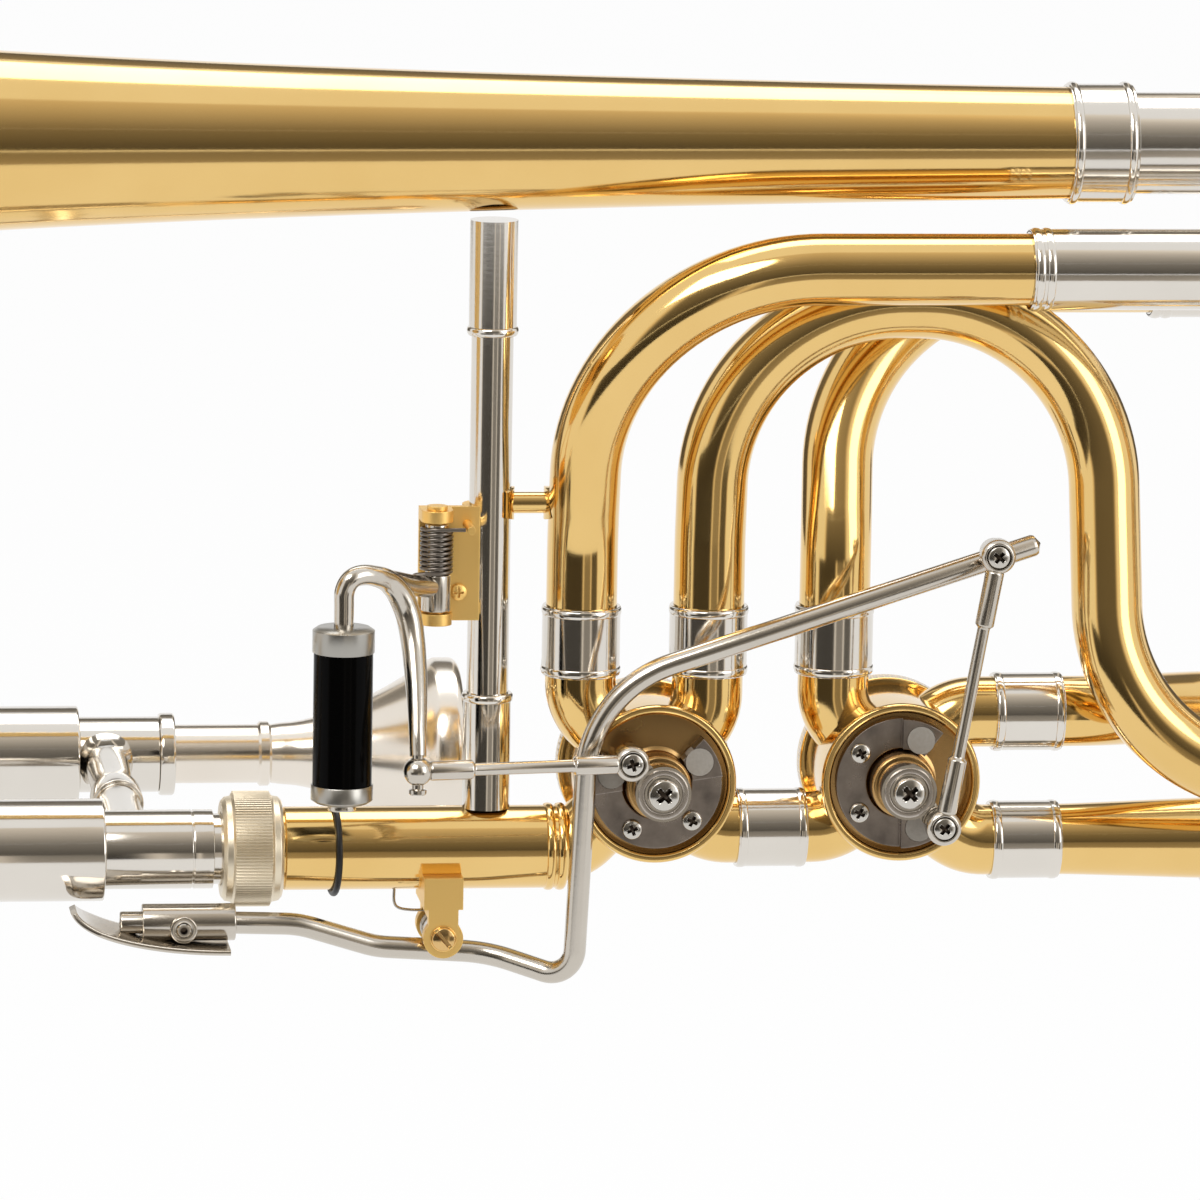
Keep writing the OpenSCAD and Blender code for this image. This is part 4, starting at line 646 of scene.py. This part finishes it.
# Hand slide, in its own plane: the near tube on X, the far one 90 mm behind and turned up 2 degrees
slide = {"pitch": 90.0, "roll": 2.0, "inner": 7.6, "innerWall": 0.45, "outer": 8.15, "outerWall": 0.5,
         "crookX": -800.0, "innerX": -782.0, "tenon": -40.0, "farEnd": -68.0, "barrelX": -140.4,
         "barrel": [[0, 10.0], [0, 11.0], [58, 11.0], [58, 7.7], [56, 7.7], [56, 10.0]],
         "collarX": -82.4, "farCollar": (8.5, 7.65, 18), "braceX": -76.5, "outerEnd": -126.4,
         "collar": [[0.1, 7.65], [0.1, 8.5], [18.8, 8.5], [18.8, 8.35], [19.2, 8.35], [19.2, 8.5],
                    [23.4, 8.5], [23.4, 7.65]],
         "foot": (40, 8.95, 8.05, [1.3, 38.7]), "grip": (24, 8.95, 8.17, [1.3, 22.7]), "bridgeX": -162.4}
crossBar = {
    "profile": [[7.2, 6.6], [9.4, 5.6], [12, 4.95], [30, 4.8], [41, 4.8], [41, 5.7], [49, 5.7],
                [49, 4.8], [60, 4.8], [78, 4.95], [80.6, 5.6], [82.8, 6.6]],
    "rounding": [0, 0, 1, 2, 2, 0.2, 0.3, 0.3, 0.2, 2, 2, 1, 0, 0]}
crookTip = {"profile": [[0, 3.4], [1.6, 4.6], [7, 5], [7, 6], [10.5, 6]],
            "rounding": [0, 1, 1, 0.3, 0.3, 0.3, 0], "reach": 9.0}
rollAngle = math.radians(slide["roll"])
slideAcross = (0, math.cos(rollAngle), math.sin(rollAngle))


def onSlide(x, y):
    # A point of the slide's plane, turned by the roll about the near tube.
    return (x, y * math.cos(rollAngle), receiverZ + y * math.sin(rollAngle))


def crossBrace(x):
    # Bar between the two tubes, whose middle is a wider grip.
    profile = soften(toAxis(crossBar["profile"]), crossBar["rounding"], False)
    return turned("c", profile, onSlide(x, 0), slideAcross)


def makeInnerSlide():
    # Two tubes, two barrels open towards the crook, and two collars tied by the cross brace.
    v = slide
    tubes, barrels, r = [], [], v["inner"]
    for y, end in ((0, v["tenon"]), (v["pitch"], v["farEnd"])):
        tube = shell(r, r - v["innerWall"], end - v["innerX"])
        tubes.append(turned("t", tube, onSlide(v["innerX"], y)))
        barrels.append(turned("b", soften(v["barrel"], 0.5), onSlide(v["barrelX"], y)))
    far = soften(shell(*v["farCollar"]), 0.2)
    collars = [turned("c", soften(v["collar"], 0.15), onSlide(v["collarX"], 0)),
               turned("c", far, onSlide(v["collarX"] + 0.1, v["pitch"])), crossBrace(v["braceX"])]
    fitted(joined("innerSlideTubes", tubes), "frame", "nickel", "inner_slides")
    fitted(joined("corkBarrels", barrels), "frame", "nickel", "cork_barrels")
    fitted(joined("innerSlideBrace", collars), "frame", "nickel", "slide_brace")


def makeOuterSlide():
    # Two tubes with beaded feet, half a circle between them as the crook, a bridge, and the tip.
    v = slide
    r, half, start, outers, bridge = v["outer"], v["pitch"] / 2, v["crookX"], [], []
    tube = shell(r, r - v["outerWall"], v["outerEnd"] - start)
    foot, grip = beadedSleeve(*v["foot"]), beadedSleeve(*v["grip"])
    for y in (0, v["pitch"]):
        outers += [turned("o", tube, onSlide(start, y)), turned("o", foot, onSlide(start, y))]
        bridge.append(turned("g", grip, onSlide(v["bridgeX"] - v["grip"][0] / 2, y)))
    bridge.append(crossBrace(v["bridgeX"]))
    fitted(joined("outerSlideTubes", outers), "hand_slide", "brass", "outer_slides")
    a = np.linspace(np.pi / 2, 3 * np.pi / 2, 61)
    path = [onSlide(start + half * math.cos(t), half - half * math.sin(t)) for t in a]
    fitted(carried("slideCrook", path, r), "hand_slide", "brass", "slide_crook")
    fitted(joined("outerSlideBridge", bridge), "hand_slide", "nickel", "outer_slide_brace")
    tip = soften(toAxis(crookTip["profile"]), crookTip["rounding"], False)
    piece = turned("crookTip", tip, onSlide(start - half - r - crookTip["reach"], half))
    fitted(piece, "hand_slide", "rubber", "crook_bumper")


makeInnerSlide()
makeOuterSlide()

# Lock nut
nut = {"x0": -57.2, "ridges": 108, "depth": 0.14, "from": 2.5, "to": 10.4, "over": 12.2, "profile": [
    [0, 7.95], [0, 10.3], [0.8, 11.2], [2.1, 11.45], [2.5, 12.3], [10.4, 12.3], [10.9, 11.45],
    [12.3, 11.2], [13, 10.4], [13, 8.35], [3.2, 8.35], [3.2, 7.95]]}


def banded(x, r, band):
    # One on the band that a wave may shape, and nothing beside it.
    return ((x > band["from"]) & (x < band["to"]) & (r > band["over"])).astype(float)


def ridges(x, a, r):
    # The radius rises and falls by the square root of a sine round the nut.
    swing = np.sin(a * nut["ridges"])
    return banded(x, r, nut) * (nut["depth"] * np.sign(swing) * np.abs(swing) ** 0.5)


def makeNut():
    # Turned with six steps to a ridge.
    profile, steps = soften(nut["profile"], 0.16), nut["ridges"] * 6
    piece = turned("lockNut", profile, onSlide(nut["x0"], 0), wave=ridges, steps=steps)
    fitted(piece, "lock_nut", "nut", "lock_nut")


makeNut()

# Mouthpiece and its socket
cupPiece = {
    "x0": -86.0, "length": 89.6, "rim": 43.0, "cup": 28.0, "depth": 26.0, "throat": 3.9, "rimDepth": 1.6,
    "rimHeight": 2.2, "rimEdge": 0.5, "socketX": -67.6,
    "shank": [[0, 5.6], [22, 6.6], [44, 6.6], [44.6, 7.3], [46.4, 7.3], [47, 6.6], [49, 6.9]],
    "socket": [[0, 6.66], [0, 7.6], [3.4, 7.6], [3.4, 9.1], [4.0, 9.3], [6.4, 9.3], [6.8, 9.0],
               [6.8, 6.66]]}


def makeMouthpiece():
    # The outside widens with the length to the power 1.6, the rim is half an ellipse, and the cup
    # narrows to the throat as a quarter of one.
    v = cupPiece
    l, rr, cr = v["length"], v["rim"] / 2, v["cup"] / 2
    t = np.linspace(0, 1, 22)
    outside = pairs(50 + (l - 58) * t, 7 + (rr - 8.5) * t ** 1.6)
    deep = l - v["rimDepth"] - (v["depth"] - v["rimDepth"]) * t
    inside = pairs(deep, v["throat"] + (cr - v["throat"]) * np.sqrt(1 - t ** 2))
    t = np.linspace(0, np.pi, 15)
    wide = (rr + cr) / 2 + v["rimEdge"] + ((rr - cr) / 2 - v["rimEdge"]) * np.cos(t)
    rim = pairs(l - v["rimHeight"] + v["rimHeight"] * np.sin(t), wide)
    profile = v["shank"] + outside + [[l - 7, rr - 0.6], [l - 5.6, rr]] + rim + inside
    profile += [[l - v["depth"] - 4, 3.8], [0, 4.6]]
    piece = turned("mouthpieceCup", profile, onSlide(v["x0"], slide["pitch"]))
    fitted(piece, "mouthpiece", "silver", "mouthpiece")
    at = onSlide(v["socketX"], slide["pitch"])
    piece = turned("mouthpieceSocket", soften(v["socket"], 0.2), at)
    fitted(piece, "frame", "nickel", "mouthpiece_receiver")


makeMouthpiece()
print("slide ready")

# Rotary valves. Profiles run forwards for the casing, its floor and the hub's ring, and backwards
# for the cap
valve = {
    "casing": [[-11.5, 15.25], [-11.5, 17.3], [13.4, 17.3], [14.4, 16.95], [14.4, 15.8], [13.7, 15.25]],
    "floor": [[9.9, 15.65], [11.4, 15.65], [11.4, 8], [11.9, 7], [17.7, 7], [18.2, 6.5], [18.2, 4.05],
              [9.9, 4.05]],
    "cap": [[8.4, 17.32], [8.4, 18.5], [8.8, 18.8], [13, 18.8], [14.2, 17.6], [14.2, 12.2], [13.7, 11.6],
            [13.7, 3.4], [14.2, 2.9], [14.2, axisRadius]],
    "hubRing": [[-0.1, 3.9], [-0.1, 5.5], [0.35, 5.3], [0.35, 4.3]],
    "hubY": -25.0, "arm": 10.2, "eyeY": -25.4, "linkY": -27.4, "plateY": -13.82, "screw": 11.1,
    "screwAt": (144, 216)}
knurls = {"from": 8.9, "to": 12.6, "over": 18.5, "depth": 0.1, "count": 90}
# Width and height of each kind of screw head
screwSize = {"plate": (4.4, 1.2), "hub": (7.0, 2.0), "link": (5.0, 1.9), "pivot": (5.3, 1.1)}
# For each valve its place, how far its stop plate is turned, and where its stop arm points at rest
stations = {"1": (valve1X, 98.0, 135.0), "2": (valve2X, 0.0, -45.0)}


def polar(x, radius, degrees, y):
    # A point at a valve, at an angle seen from the front.
    a = math.radians(degrees)
    return (x + radius * math.cos(a), y, valveZ + radius * math.sin(a))


def knurl(s, a, r):
    # The cap's band is pressed in by a sine round it.
    return -knurls["depth"] * banded(s, r, knurls) * (1 + np.sin(a * knurls["count"]))


def makeValves():
    # Casing wall, floor with its boss, and knurled cap, all turned about the valve's axis.
    v = valve
    walls, floors, caps, screws = [], [], [], []
    for x, plateTurn, _ in stations.values():
        at = (x, 0, valveZ)
        walls.append(turned("w", soften(v["casing"], 0.3), at, front))
        floors.append(turned("f", soften(v["floor"], 0.2), at, front))
        caps.append(turned("c", soften(v["cap"], 0.2, False), at, (0, 1, 0), wave=knurl, steps=360))
        for a in v["screwAt"]:
            at = polar(x, v["screw"], a + plateTurn, v["plateY"])
            screws.append(screwHead("s", at, front, *screwSize["plate"], turnBy=0.5 + 0.01 * a))
    fitted(joined("casingWalls", walls), "frame", "brass", "valve_casings")
    fitted(joined("casingFloors", floors), "frame", "floorBrass")
    fitted(joined("rearCaps", caps), "frame", "brass", "valve_caps")
    fitted(joined("plateScrews", screws), "frame", "screw", "stop_plate_screws")
    for k, (x, _, _) in stations.items():
        ring = soften(v["hubRing"], 0.12)
        fitted(turned("hubRing" + k, ring, (x, v["hubY"], valveZ), front), "rotor_" + k, "hub")
        at = (x, v["hubY"] - 0.02, valveZ)
        piece = screwHead("hubScrew" + k, at, front, *screwSize["hub"], turnBy=0.75)
        fitted(piece, "rotor_" + k, "screw", "hub_screw_" + k)


makeValves()

# Links: an eye's ring and where a rod starts from it, the rod's sizes, and the ball of the first
eyeEdge, ballRadius = 3.1, 3.1
eyeRing = [[0, 2.62], [0, 3.75], [2.9, 3.75], [3.6, 3.05], [3.6, 2.62]]
rodSize = {"thick": 2.05, "thin": 1.35, "end": 1.7, "bevel": 0.4}
ballAt = np.array([-18.3, -34.0, -51.59])
jointX, jointZ = 105.8, -7.2


def makeEye(at):
    # Ring of a link's end round its screw, and the plug inside.
    at = (at[0], valve["eyeY"], at[2])
    plug = toAxis([[0, 2.64], [2.2, 2.64]])
    return [turned("e", soften(eyeRing, 0.3), at, front), turned("e", plug, at, front)]


def makeRod(a, b, start, stop):
    # Link rod: thick for a fifth of its length at both ends, thin between.
    a, b = np.array(a, float), np.array(b, float)
    l = np.linalg.norm(b - a)
    thick, thin, tip, bevel = rodSize.values()
    profile = toAxis([
        [start, tip], [start + bevel, thick], [l * 0.2 + start, thick], [l * 0.21 + start, thin],
        [l * 0.79 - stop, thin], [l * 0.8 - stop, thick], [l - stop - bevel, thick], [l - stop, tip]])
    return turned("r", soften(profile, 0.25, False), a, b - a)


def makeLinks():
    # Each stop arm's eye lies at its arm's radius; the first link starts from a ball.
    eyes = [polar(x, valve["arm"], a, valve["linkY"]) for x, _, a in stations.values()]
    joint = (jointX, valve["linkY"], jointZ)
    t = np.linspace(0.35, np.pi - 0.35, 24)
    ball = turned("b", pairs(-ballRadius * np.cos(t), ballRadius * np.sin(t)), ballAt, upward)
    one = [ball, makeRod(ballAt, eyes[0], 2.4, eyeEdge)] + makeEye(eyes[0])
    fitted(joined("linkOne", one), "link_1", "lever", "link_1")
    two = [makeRod(joint, eyes[1], eyeEdge, eyeEdge)] + makeEye(eyes[1]) + makeEye(joint)
    fitted(joined("linkTwo", two), "link_2", "lever", "link_2")
    for name, body, at, turnBy in (
            ("linkOneScrew", "link_1", eyes[0], 0.3), ("linkTwoScrewLow", "link_2", eyes[1], 0.9),
            ("linkTwoScrewHigh", "link_2", joint, 0.9)):
        at = (at[0], valve["eyeY"] - 2.2, at[2])
        fitted(screwHead(name, at, front, *screwSize["link"], turnBy=turnBy), body, "screw")


makeLinks()

# Thumb lever and roller
thumb = {"hinge": (-12.2, -8.0), "roller": (-33.7, -27.0), "top": -21.6, "low": -61.2, "springZ": -13.3,
         "hub": [[-21.8, 1.55], [-21.8, 3.2], [-13.8, 3.2], [-13.8, 2.45], [-2.9, 2.45], [-2.9, 1.55]],
         "arch": [[-33.6, -27, -14.2], [-32.3, -27, -11.7], [-30, -26, -10.9], [-27, -24.2, -11.4],
                  [-23.9, -21.4, -13], [-21.2, -19.6, -16.2], [-19.3, -19.2, -20.6], [-18.4, -21, -26],
                  [-18.1, -24.6, -32], [-18.1, -28.6, -38], [-18.3, -32, -43.4]],
         "thickAt": [0, 0.2, 0.42, 0.6, 0.68, 0.8, 0.92, 1],
         "thick": [2.0, 2.15, 2.2, 2.8, 2.7, 2.4, 1.9, 1.75],
         "tie": [[-27, -24.2, -11.6], [-22.6, -19.2, -13.2], [-17.6, -13.2, -15.4], [-12.2, -8, -16.6]],
         "pin": [[-5, 1.6], [-4.7, 1.9], [-3.9, 1.9], [-3.7, 1.2], [3.6, 1.2]]}
# Profiles of the thumb's roller, from its top down
roller = {"body": [[5.6, 2.05], [5.6, 6.3], [34, 6.3], [34, 2.05]],
          "capTop": [[0.2, 2.05], [0.2, 5.6], [0.9, 6.6], [5.45, 6.6], [5.6, 6.5], [5.6, 2.05]],
          "capFoot": [[34, 2.05], [34, 6.5], [34.15, 6.6], [37.2, 6.6], [37.9, 5.6], [37.9, 2.05]]}


def makeThumbLever():
    # Hub on the hinge; a rod up through the roller and over the arch down to the ball's pin, as
    # thick as its table says; and a tie from the arch to the hub.
    v = thumb
    (hx, hy), (rx, ry), low = v["hinge"], v["roller"], v["low"]
    rod = [[rx, ry, low], [rx, ry, -30], [rx, ry, -18]]
    arch = smoothLine(rod + v["arch"] + [ballAt + [0, 0, 3.2]], 150)
    thick = np.interp(np.linspace(0, 1, 150), v["thickAt"], v["thick"])
    disc = soften(toAxis([[0, 3], [1.2, 3]]), 0.2, False)
    pieces = [turned("h", soften(v["hub"], 0.35), (hx, hy, 0), upward), carried("a", arch, thick, 40),
              carried("b", smoothLine(v["tie"], 30), np.linspace(1.9, 2.5, 30), 36),
              turned("p", toAxis(v["pin"]), ballAt, upward), turned("d", disc, (rx, ry, low), upward)]
    fitted(joined("thumbLever", pieces), "thumb_lever", "lever", "thumb_lever")
    at, down = (rx, ry, v["top"]), (0, 0, -1)
    caps = [turned("c", roller[k], at, down) for k in ("capTop", "capFoot")]
    fitted(joined("rollerCaps", caps), "thumb_roller", "cap", "roller_caps")
    fitted(turned("rollerBody", roller["body"], at, down), "thumb_roller", "roller", "thumb_roller")


makeThumbLever()

# Second lever and the return springs
lever2 = {
    "x": -10.1, "z": -92.5, "tubeY": -9.5, "rod": 2.4, "y": -21.0, "stem0": -79.4, "socket0": -74.7,
    "socketY": -9.8, "socketZ": -88.9, "clamp": (-66.0, -89.7), "bends": [0, 20, 20, 20, 6, 26, 0],
    "path": [[-62.7, -9.8, -88.9], [-41, -9.4, -89.6], [-24, -7.2, -95.2], [0, -6.5, -96.8],
             [17.6, -16, -101.2], [19.8, -21, -37], [116, -21, -5.4]],
    "socket": [[0, 2.5], [0, 4], [20, 4], [20, 2.2]],
    "screw": [[-2.3, 1.5], [0.1, 1.5], [0.25, 1.35], [0.25, 0.75], [-1.2, 0.75]]}
springs = {
    "wire": 0.43, "pitch": 1.05, "thin": 0.75, "secondAt": (-10.1, -2.25, -92.5),
    "thumbLead": [[-5.46, -4.2, -1.05], [-5.46, -4.2, -0.4], [-4.8, -3.85, -0.05], [-2.6, -3.2, 0]],
    "thumbTail": [[2, -3.2, 9.45], [4, -3.2, 9.45], [5.8, -3.2, 9.45]],
    "secondLead": [[-7.4, 3.5, -1.3], [-7.4, 3.5, -0.7], [-6.9, 3.5, 0], [-2.5, 3.4, 0]],
    "secondTail": [[-2, -3.4, 3.675], [-5.5, -3.4, 3.675], [-8.3, -3.9, 3.675], [-9.3, -5.3, 3.675],
                   [-9.3, -8.4, 3.675]]}


def coil(radius, turns, start, hand):
    # A circle run round turns times, that rises by the pitch with every turn.
    a = start + hand * np.linspace(0, turns, int(turns * 28) + 1) * 2 * np.pi
    rise = springs["pitch"] * (a - start) / (2 * np.pi) * hand
    return np.stack([radius * np.cos(a), radius * np.sin(a), rise], 1)


def makeSprings():
    # Bent lead, coil, and tail, end to end; the second spring lies on its side.
    v = springs
    lead, at = smoothLine(v["thumbLead"], 14), [*thumb["hinge"], thumb["springZ"]]
    path = np.concatenate([lead, coil(3.2, 9, -np.pi / 2, 1), v["thumbTail"]])
    piece = carried("thumbSpring", path + at, v["wire"], 12)
    fitted(piece, "frame", "spring", "thumb_spring")
    lead, tail = smoothLine(v["secondLead"], 14), smoothLine(v["secondTail"], 18)
    path = np.concatenate([lead, coil(3.4, 3.5, np.pi / 2, -1), tail])
    lying = np.stack([path[:, 0], path[:, 2], -path[:, 1]], 1) + v["secondAt"]
    piece = carried("leverTwoSpring", lying, v["wire"] * v["thin"], 12)
    fitted(piece, "frame", "springBright", "lever_2_spring")


def makeLeverTwo():
    # Rod bent from the paddle's socket over the post's tube and up to the second link's joint.
    v, x, z = lever2, lever2["x"], lever2["z"]
    clampX, clampZ = v["clamp"]
    boss, tube = soften(shell(2.9, 1.6, 5), 0.3), soften(shell(3.6, 1.55, 6.5), 0.3)
    stud = soften(toAxis([[0, 3], [4, 3]]), [0, 0.3, 0.3, 0], False)
    socketAt = (v["socket0"], v["socketY"], v["socketZ"])
    pieces = [carried("r", bentLine(v["path"], v["bends"], 3), v["rod"], 40, dome=2.0),
              turned("s", soften(v["socket"], 0.35), socketAt),
              turned("b", boss, (clampX, v["socketY"], clampZ), front),
              turned("t", tube, (x, v["tubeY"], z), (0, 1, 0)),
              turned("j", stud, (jointX, v["y"], jointZ), front)]
    fitted(joined("leverTwo", pieces), "lever_2", "lever", "lever_2")
    at = (clampX, v["socketY"] - 5.2, clampZ)
    piece = turned("paddleScrew", toAxis(v["screw"]), at, front)
    # Painted shade in the screw's slot, darkest at its deepest.
    markRecess(piece, at, front, lambda along, radial: (radial < 0.8) * np.clip(1 - along, 0, 1))
    fitted(piece, "lever_2", "screw", "paddle_screw")
    pin = turned("p", toAxis([[0, 1.5], [-11, 1.5]]), (x, -12.7, z), front)
    rim = turned("r", soften(shell(2.8, 2.0, 0.5), 0.15), (x, -12.62, z), front)
    fitted(joined("pivotPin", [pin, rim]), "frame", "brass", "lever_2_pivot_screw")
    piece = screwHead("pivotHead", (x, -12.9, z), front, *screwSize["pivot"], False, 0.7)
    fitted(piece, "frame", "screwBrass")


makeSprings()
makeLeverTwo()

# Paddle
paddle = {"x1": -56.2, "low": -94.6, "reach": 34.3, "rise": 10.3, "thick": 1.4, "width": 18.0,
          "narrowFrom": -89.6, "narrowOver": 5.0, "narrowLow": 2.4, "narrowHigh": 9.6, "count": 60}


def makePaddle():
    # Quarter of an ellipse. Its section is a strip whose sides and faces follow a cosine and a sine
    # raised to small powers, and which narrows towards the tip.
    v, q = paddle, lever2
    a = np.linspace(0, np.radians(83), v["count"])
    mid, half = v["thick"] / 2, v["width"] / 2
    path = np.stack([v["x1"] - (v["reach"] - mid) * np.sin(a), np.full(v["count"], q["socketY"]),
                     v["low"] + v["rise"] - (v["rise"] - mid) * np.cos(a)], 1)
    t = roundAngles(48)
    wide = np.sign(np.cos(t)) * np.abs(np.cos(t)) ** 0.16
    flat = np.sign(np.sin(t)) * np.abs(np.sin(t)) ** 0.5
    rise = np.clip((path[:, 2] - v["narrowFrom"]) / v["narrowOver"], 0, 1)[:, None]
    low, high = -half + rise * v["narrowLow"], half - rise ** 1.5 * v["narrowHigh"]
    across = np.where(wide > 0, wide * high, -wide * low)
    section = np.stack([across, np.broadcast_to(flat * mid, across.shape)], -1)
    stem = soften(toAxis([[0, 2.4], [16, 2.4]]), [0, 0.5, 0, 0], False)
    at = (q["stem0"], q["socketY"], q["socketZ"])
    pieces = [carried("p", path, 1.0, section=section, first=(0, 1, 0)), turned("s", stem, at)]
    fitted(joined("paddlePlate", pieces), "lever_2", "lever", "paddle")


makePaddle()

# Rubber ring round the receiver
rubberRing = {"x": -33, "radius": 9.75, "thick": 0.7, "lean": 4.0}


def makeRing():
    # A small circle turned about the receiver's axis, which leans a little.
    v, lean = rubberRing, math.radians(rubberRing["lean"])
    t = roundAngles(24)
    profile = pairs(v["thick"] * np.cos(t), v["radius"] + v["thick"] * np.sin(t))
    axis = (math.cos(lean), math.sin(lean), 0.0)
    piece = turned("rubberRing", profile, (v["x"], 0, receiverZ), axis)
    fitted(piece, "frame", "rubber", "o_ring")


makeRing()
print("levers ready")

# Camera at the photo's angle
view = {"azimuth": -7.2, "elevation": 10.0, "roll": 1.0, "distance": 1.8, "lens": 251.2,
        "target": (0.02408, 0.0, -0.02108)}


def aimed(thing, at, x, y, z):
    # Stands at a point, with the three directions as its own axes.
    turn = Matrix([[x[k], y[k], z[k]] for k in range(3)]).to_4x4()
    thing.matrix_world = Matrix.Translation(at) @ turn


def makeCamera():
    # Looks from azimuth and elevation at the target, and is rolled about its own line of sight.
    az, el, roll = (math.radians(view[k]) for k in ("azimuth", "elevation", "roll"))
    back = np.array([math.sin(az) * math.cos(el), -math.cos(az) * math.cos(el), math.sin(el)])
    level = unit(np.cross(-back, [0, 0, 1]))
    rise = np.cross(level, -back)
    right = level * math.cos(roll) + rise * math.sin(roll)
    up = rise * math.cos(roll) - level * math.sin(roll)
    data = bpy.data.cameras.new("photoCamera")
    data.lens = view["lens"]
    data.sensor_width = 36
    data.clip_end = 50
    camera = placed("photoCamera", data)
    aimed(camera, np.array(view["target"]) + back * view["distance"], right, up, back)
    bpy.context.scene.camera = camera


makeCamera()

# Stage, lamps, and cards that are seen only in reflections
stage = {"floorZ": -0.42, "size": 14.0, "floorGrey": (0.86, 0.86, 0.86, 1), "white": 0.96,
         "worldGrey": (0.55, 0.55, 0.55, 1), "aim": (0.05, 0, 0), "cardGlow": (1.0, 0.9, 0.76, 1),
         "cardGrid": (25, 13)}
# Place, size and power of each lamp
lamps = {
    "keySoftbox": ((-0.9, -1.3, 1.5), (1.4, 1.0), 22), "fillSoftbox": ((1.5, -1.2, 0.6), (0.9, 1.4), 9),
    "topSoftbox": ((0.2, 0.6, 1.6), (1.8, 1.0), 16)}
# Azimuths and elevations of each card, its distance, its glow below and above, and its soft share
cards = {
    "roomLow": ((-46, 30), (-4, 24), 2.3, (0.09, 0.24), 0.12),
    "roomHigh": ((-46, 30), (24.2, 62), 2.3, (0.24, 0.75), 0.12),
    "frontLeft": ((-64, 0), (-20.6, -4.1), 1.1, (0.04, 0.09), 0.1),
    "frontRight": ((22, 46), (-20.6, -4.1), 1.1, (0.1, 0.16), 0.2),
    "frontMiddle": ((-1, 23), (-20.6, -4.1), 1.1, (0.36, 0.24), 0.15),
    "sideLeft": ((-162, -124), (-6, 60), 2.6, (0.1, 0.3), 0.2),
    "sideRight": ((124, 162), (-6, 60), 2.6, (0.1, 0.3), 0.2),
    "backHigh": ((160.5, 199.5), (22, 46), 2.6, (0.12, 0.3), 0.1)}


def whiteForCamera(tree, ground, output):
    # Camera, glossy and transmitted rays meet plain white; other rays meet the surface itself.
    rays = fresh(tree, "LightPath").outputs
    glow = fresh(tree, "Emission", {"Color": (1, 1, 1, 1)})
    seen = rays["Is Camera Ray"]
    for ray in ("Is Glossy Ray", "Is Transmission Ray"):
        either = fresh(tree, "Math", {0: seen, 1: rays[ray]})
        either.operation = "MAXIMUM"
        seen = either.outputs["Value"]
    share = fresh(tree, "Math", {0: seen, 1: stage["white"]})
    share.operation = "MULTIPLY"
    mix = fresh(tree, "MixShader", {
        "Fac": share.outputs["Value"], 1: ground.outputs[0], 2: glow.outputs["Emission"]})
    feed(tree, output, {"Surface": mix.outputs["Shader"]})


def makeFloor():
    # A pale square under the part.
    half, z = stage["size"] / 2, stage["floorZ"]
    mesh = bpy.data.meshes.new("floor")
    corners = [(-half, -half, z), (half, -half, z), (half, half, z), (-half, half, z)]
    mesh.from_pydata(corners, [], [(0, 1, 2, 3)])
    floor = placed("floor", mesh)
    material, tree, shader = newMaterial("paleFloor")
    feed(tree, shader, {"Base Color": stage["floorGrey"], "Roughness": 0.9})
    whiteForCamera(tree, shader, tree.nodes["Material Output"])
    mesh.materials.append(material)


def makeWorld():
    # An even grey all round.
    world = bpy.data.worlds.new("studio")
    world.use_nodes = True
    bpy.context.scene.world = world
    tree = world.node_tree
    grey = feed(tree, tree.nodes["Background"], {"Color": stage["worldGrey"]})
    whiteForCamera(tree, grey, tree.nodes["World Output"])


def makeLamp(name, at, size, power):
    # A rectangle of light that faces the middle of the part.
    data = bpy.data.lights.new(name, "AREA")
    data.shape = "RECTANGLE"
    data.size, data.size_y = size
    data.energy = power
    aimed(placed(name, data), at, *axesFor(np.array(at) - stage["aim"]))


def makeCard(name, az, el, r, glow, soft):
    # Patch of a sphere round the part, seen only in reflections, over angles in degrees. Its glow
    # runs from low to high, and fades to white over the outer soft share of its width.
    cols, rows = stage["cardGrid"]
    az = np.radians(np.linspace(*az, cols))[:, None]
    el = np.radians(np.linspace(*el, rows))[None, :]
    grid = np.stack([r * np.cos(el) * np.sin(az), -r * np.cos(el) * np.cos(az),
                     r * np.sin(el) + 0 * az], -1)
    index = np.arange(cols * rows).reshape(cols, rows)
    faces = np.stack([index[:-1, :-1], index[1:, :-1], index[1:, 1:], index[:-1, 1:]], -1)
    mesh = bpy.data.meshes.new(name)
    mesh.from_pydata(grid.reshape(-1, 3).tolist(), [], faces.reshape(-1, 4).tolist())
    across, height = np.linspace(0, 1, cols)[:, None], np.linspace(0, 1, rows)[None, :]
    inside = np.clip(np.minimum(across, 1 - across) / soft, 0, 1)
    inside = inside ** 2 * (3 - 2 * inside)
    low, high = glow
    glow = 1 - inside * (1 - (low + (high - low) * height))
    mesh.attributes.new("glow", "FLOAT", "POINT").data.foreach_set("value", glow.reshape(-1))
    piece = placed(name, mesh)
    piece.visible_camera = piece.visible_diffuse = piece.visible_shadow = False
    material, tree, shader = newMaterial(name)
    feed(tree, shader, {"Base Color": (0, 0, 0, 1), "Specular IOR Level": 0.0,
                        "Emission Color": stage["cardGlow"], "Emission Strength": stored(tree, "glow")})
    mesh.materials.append(material)


makeFloor()
makeWorld()
for name, lamp in lamps.items():
    makeLamp(name, *lamp)
for name, card in cards.items():
    makeCard(name, *card)
bpy.context.scene.view_settings.view_transform = "Standard"
print("stage ready")
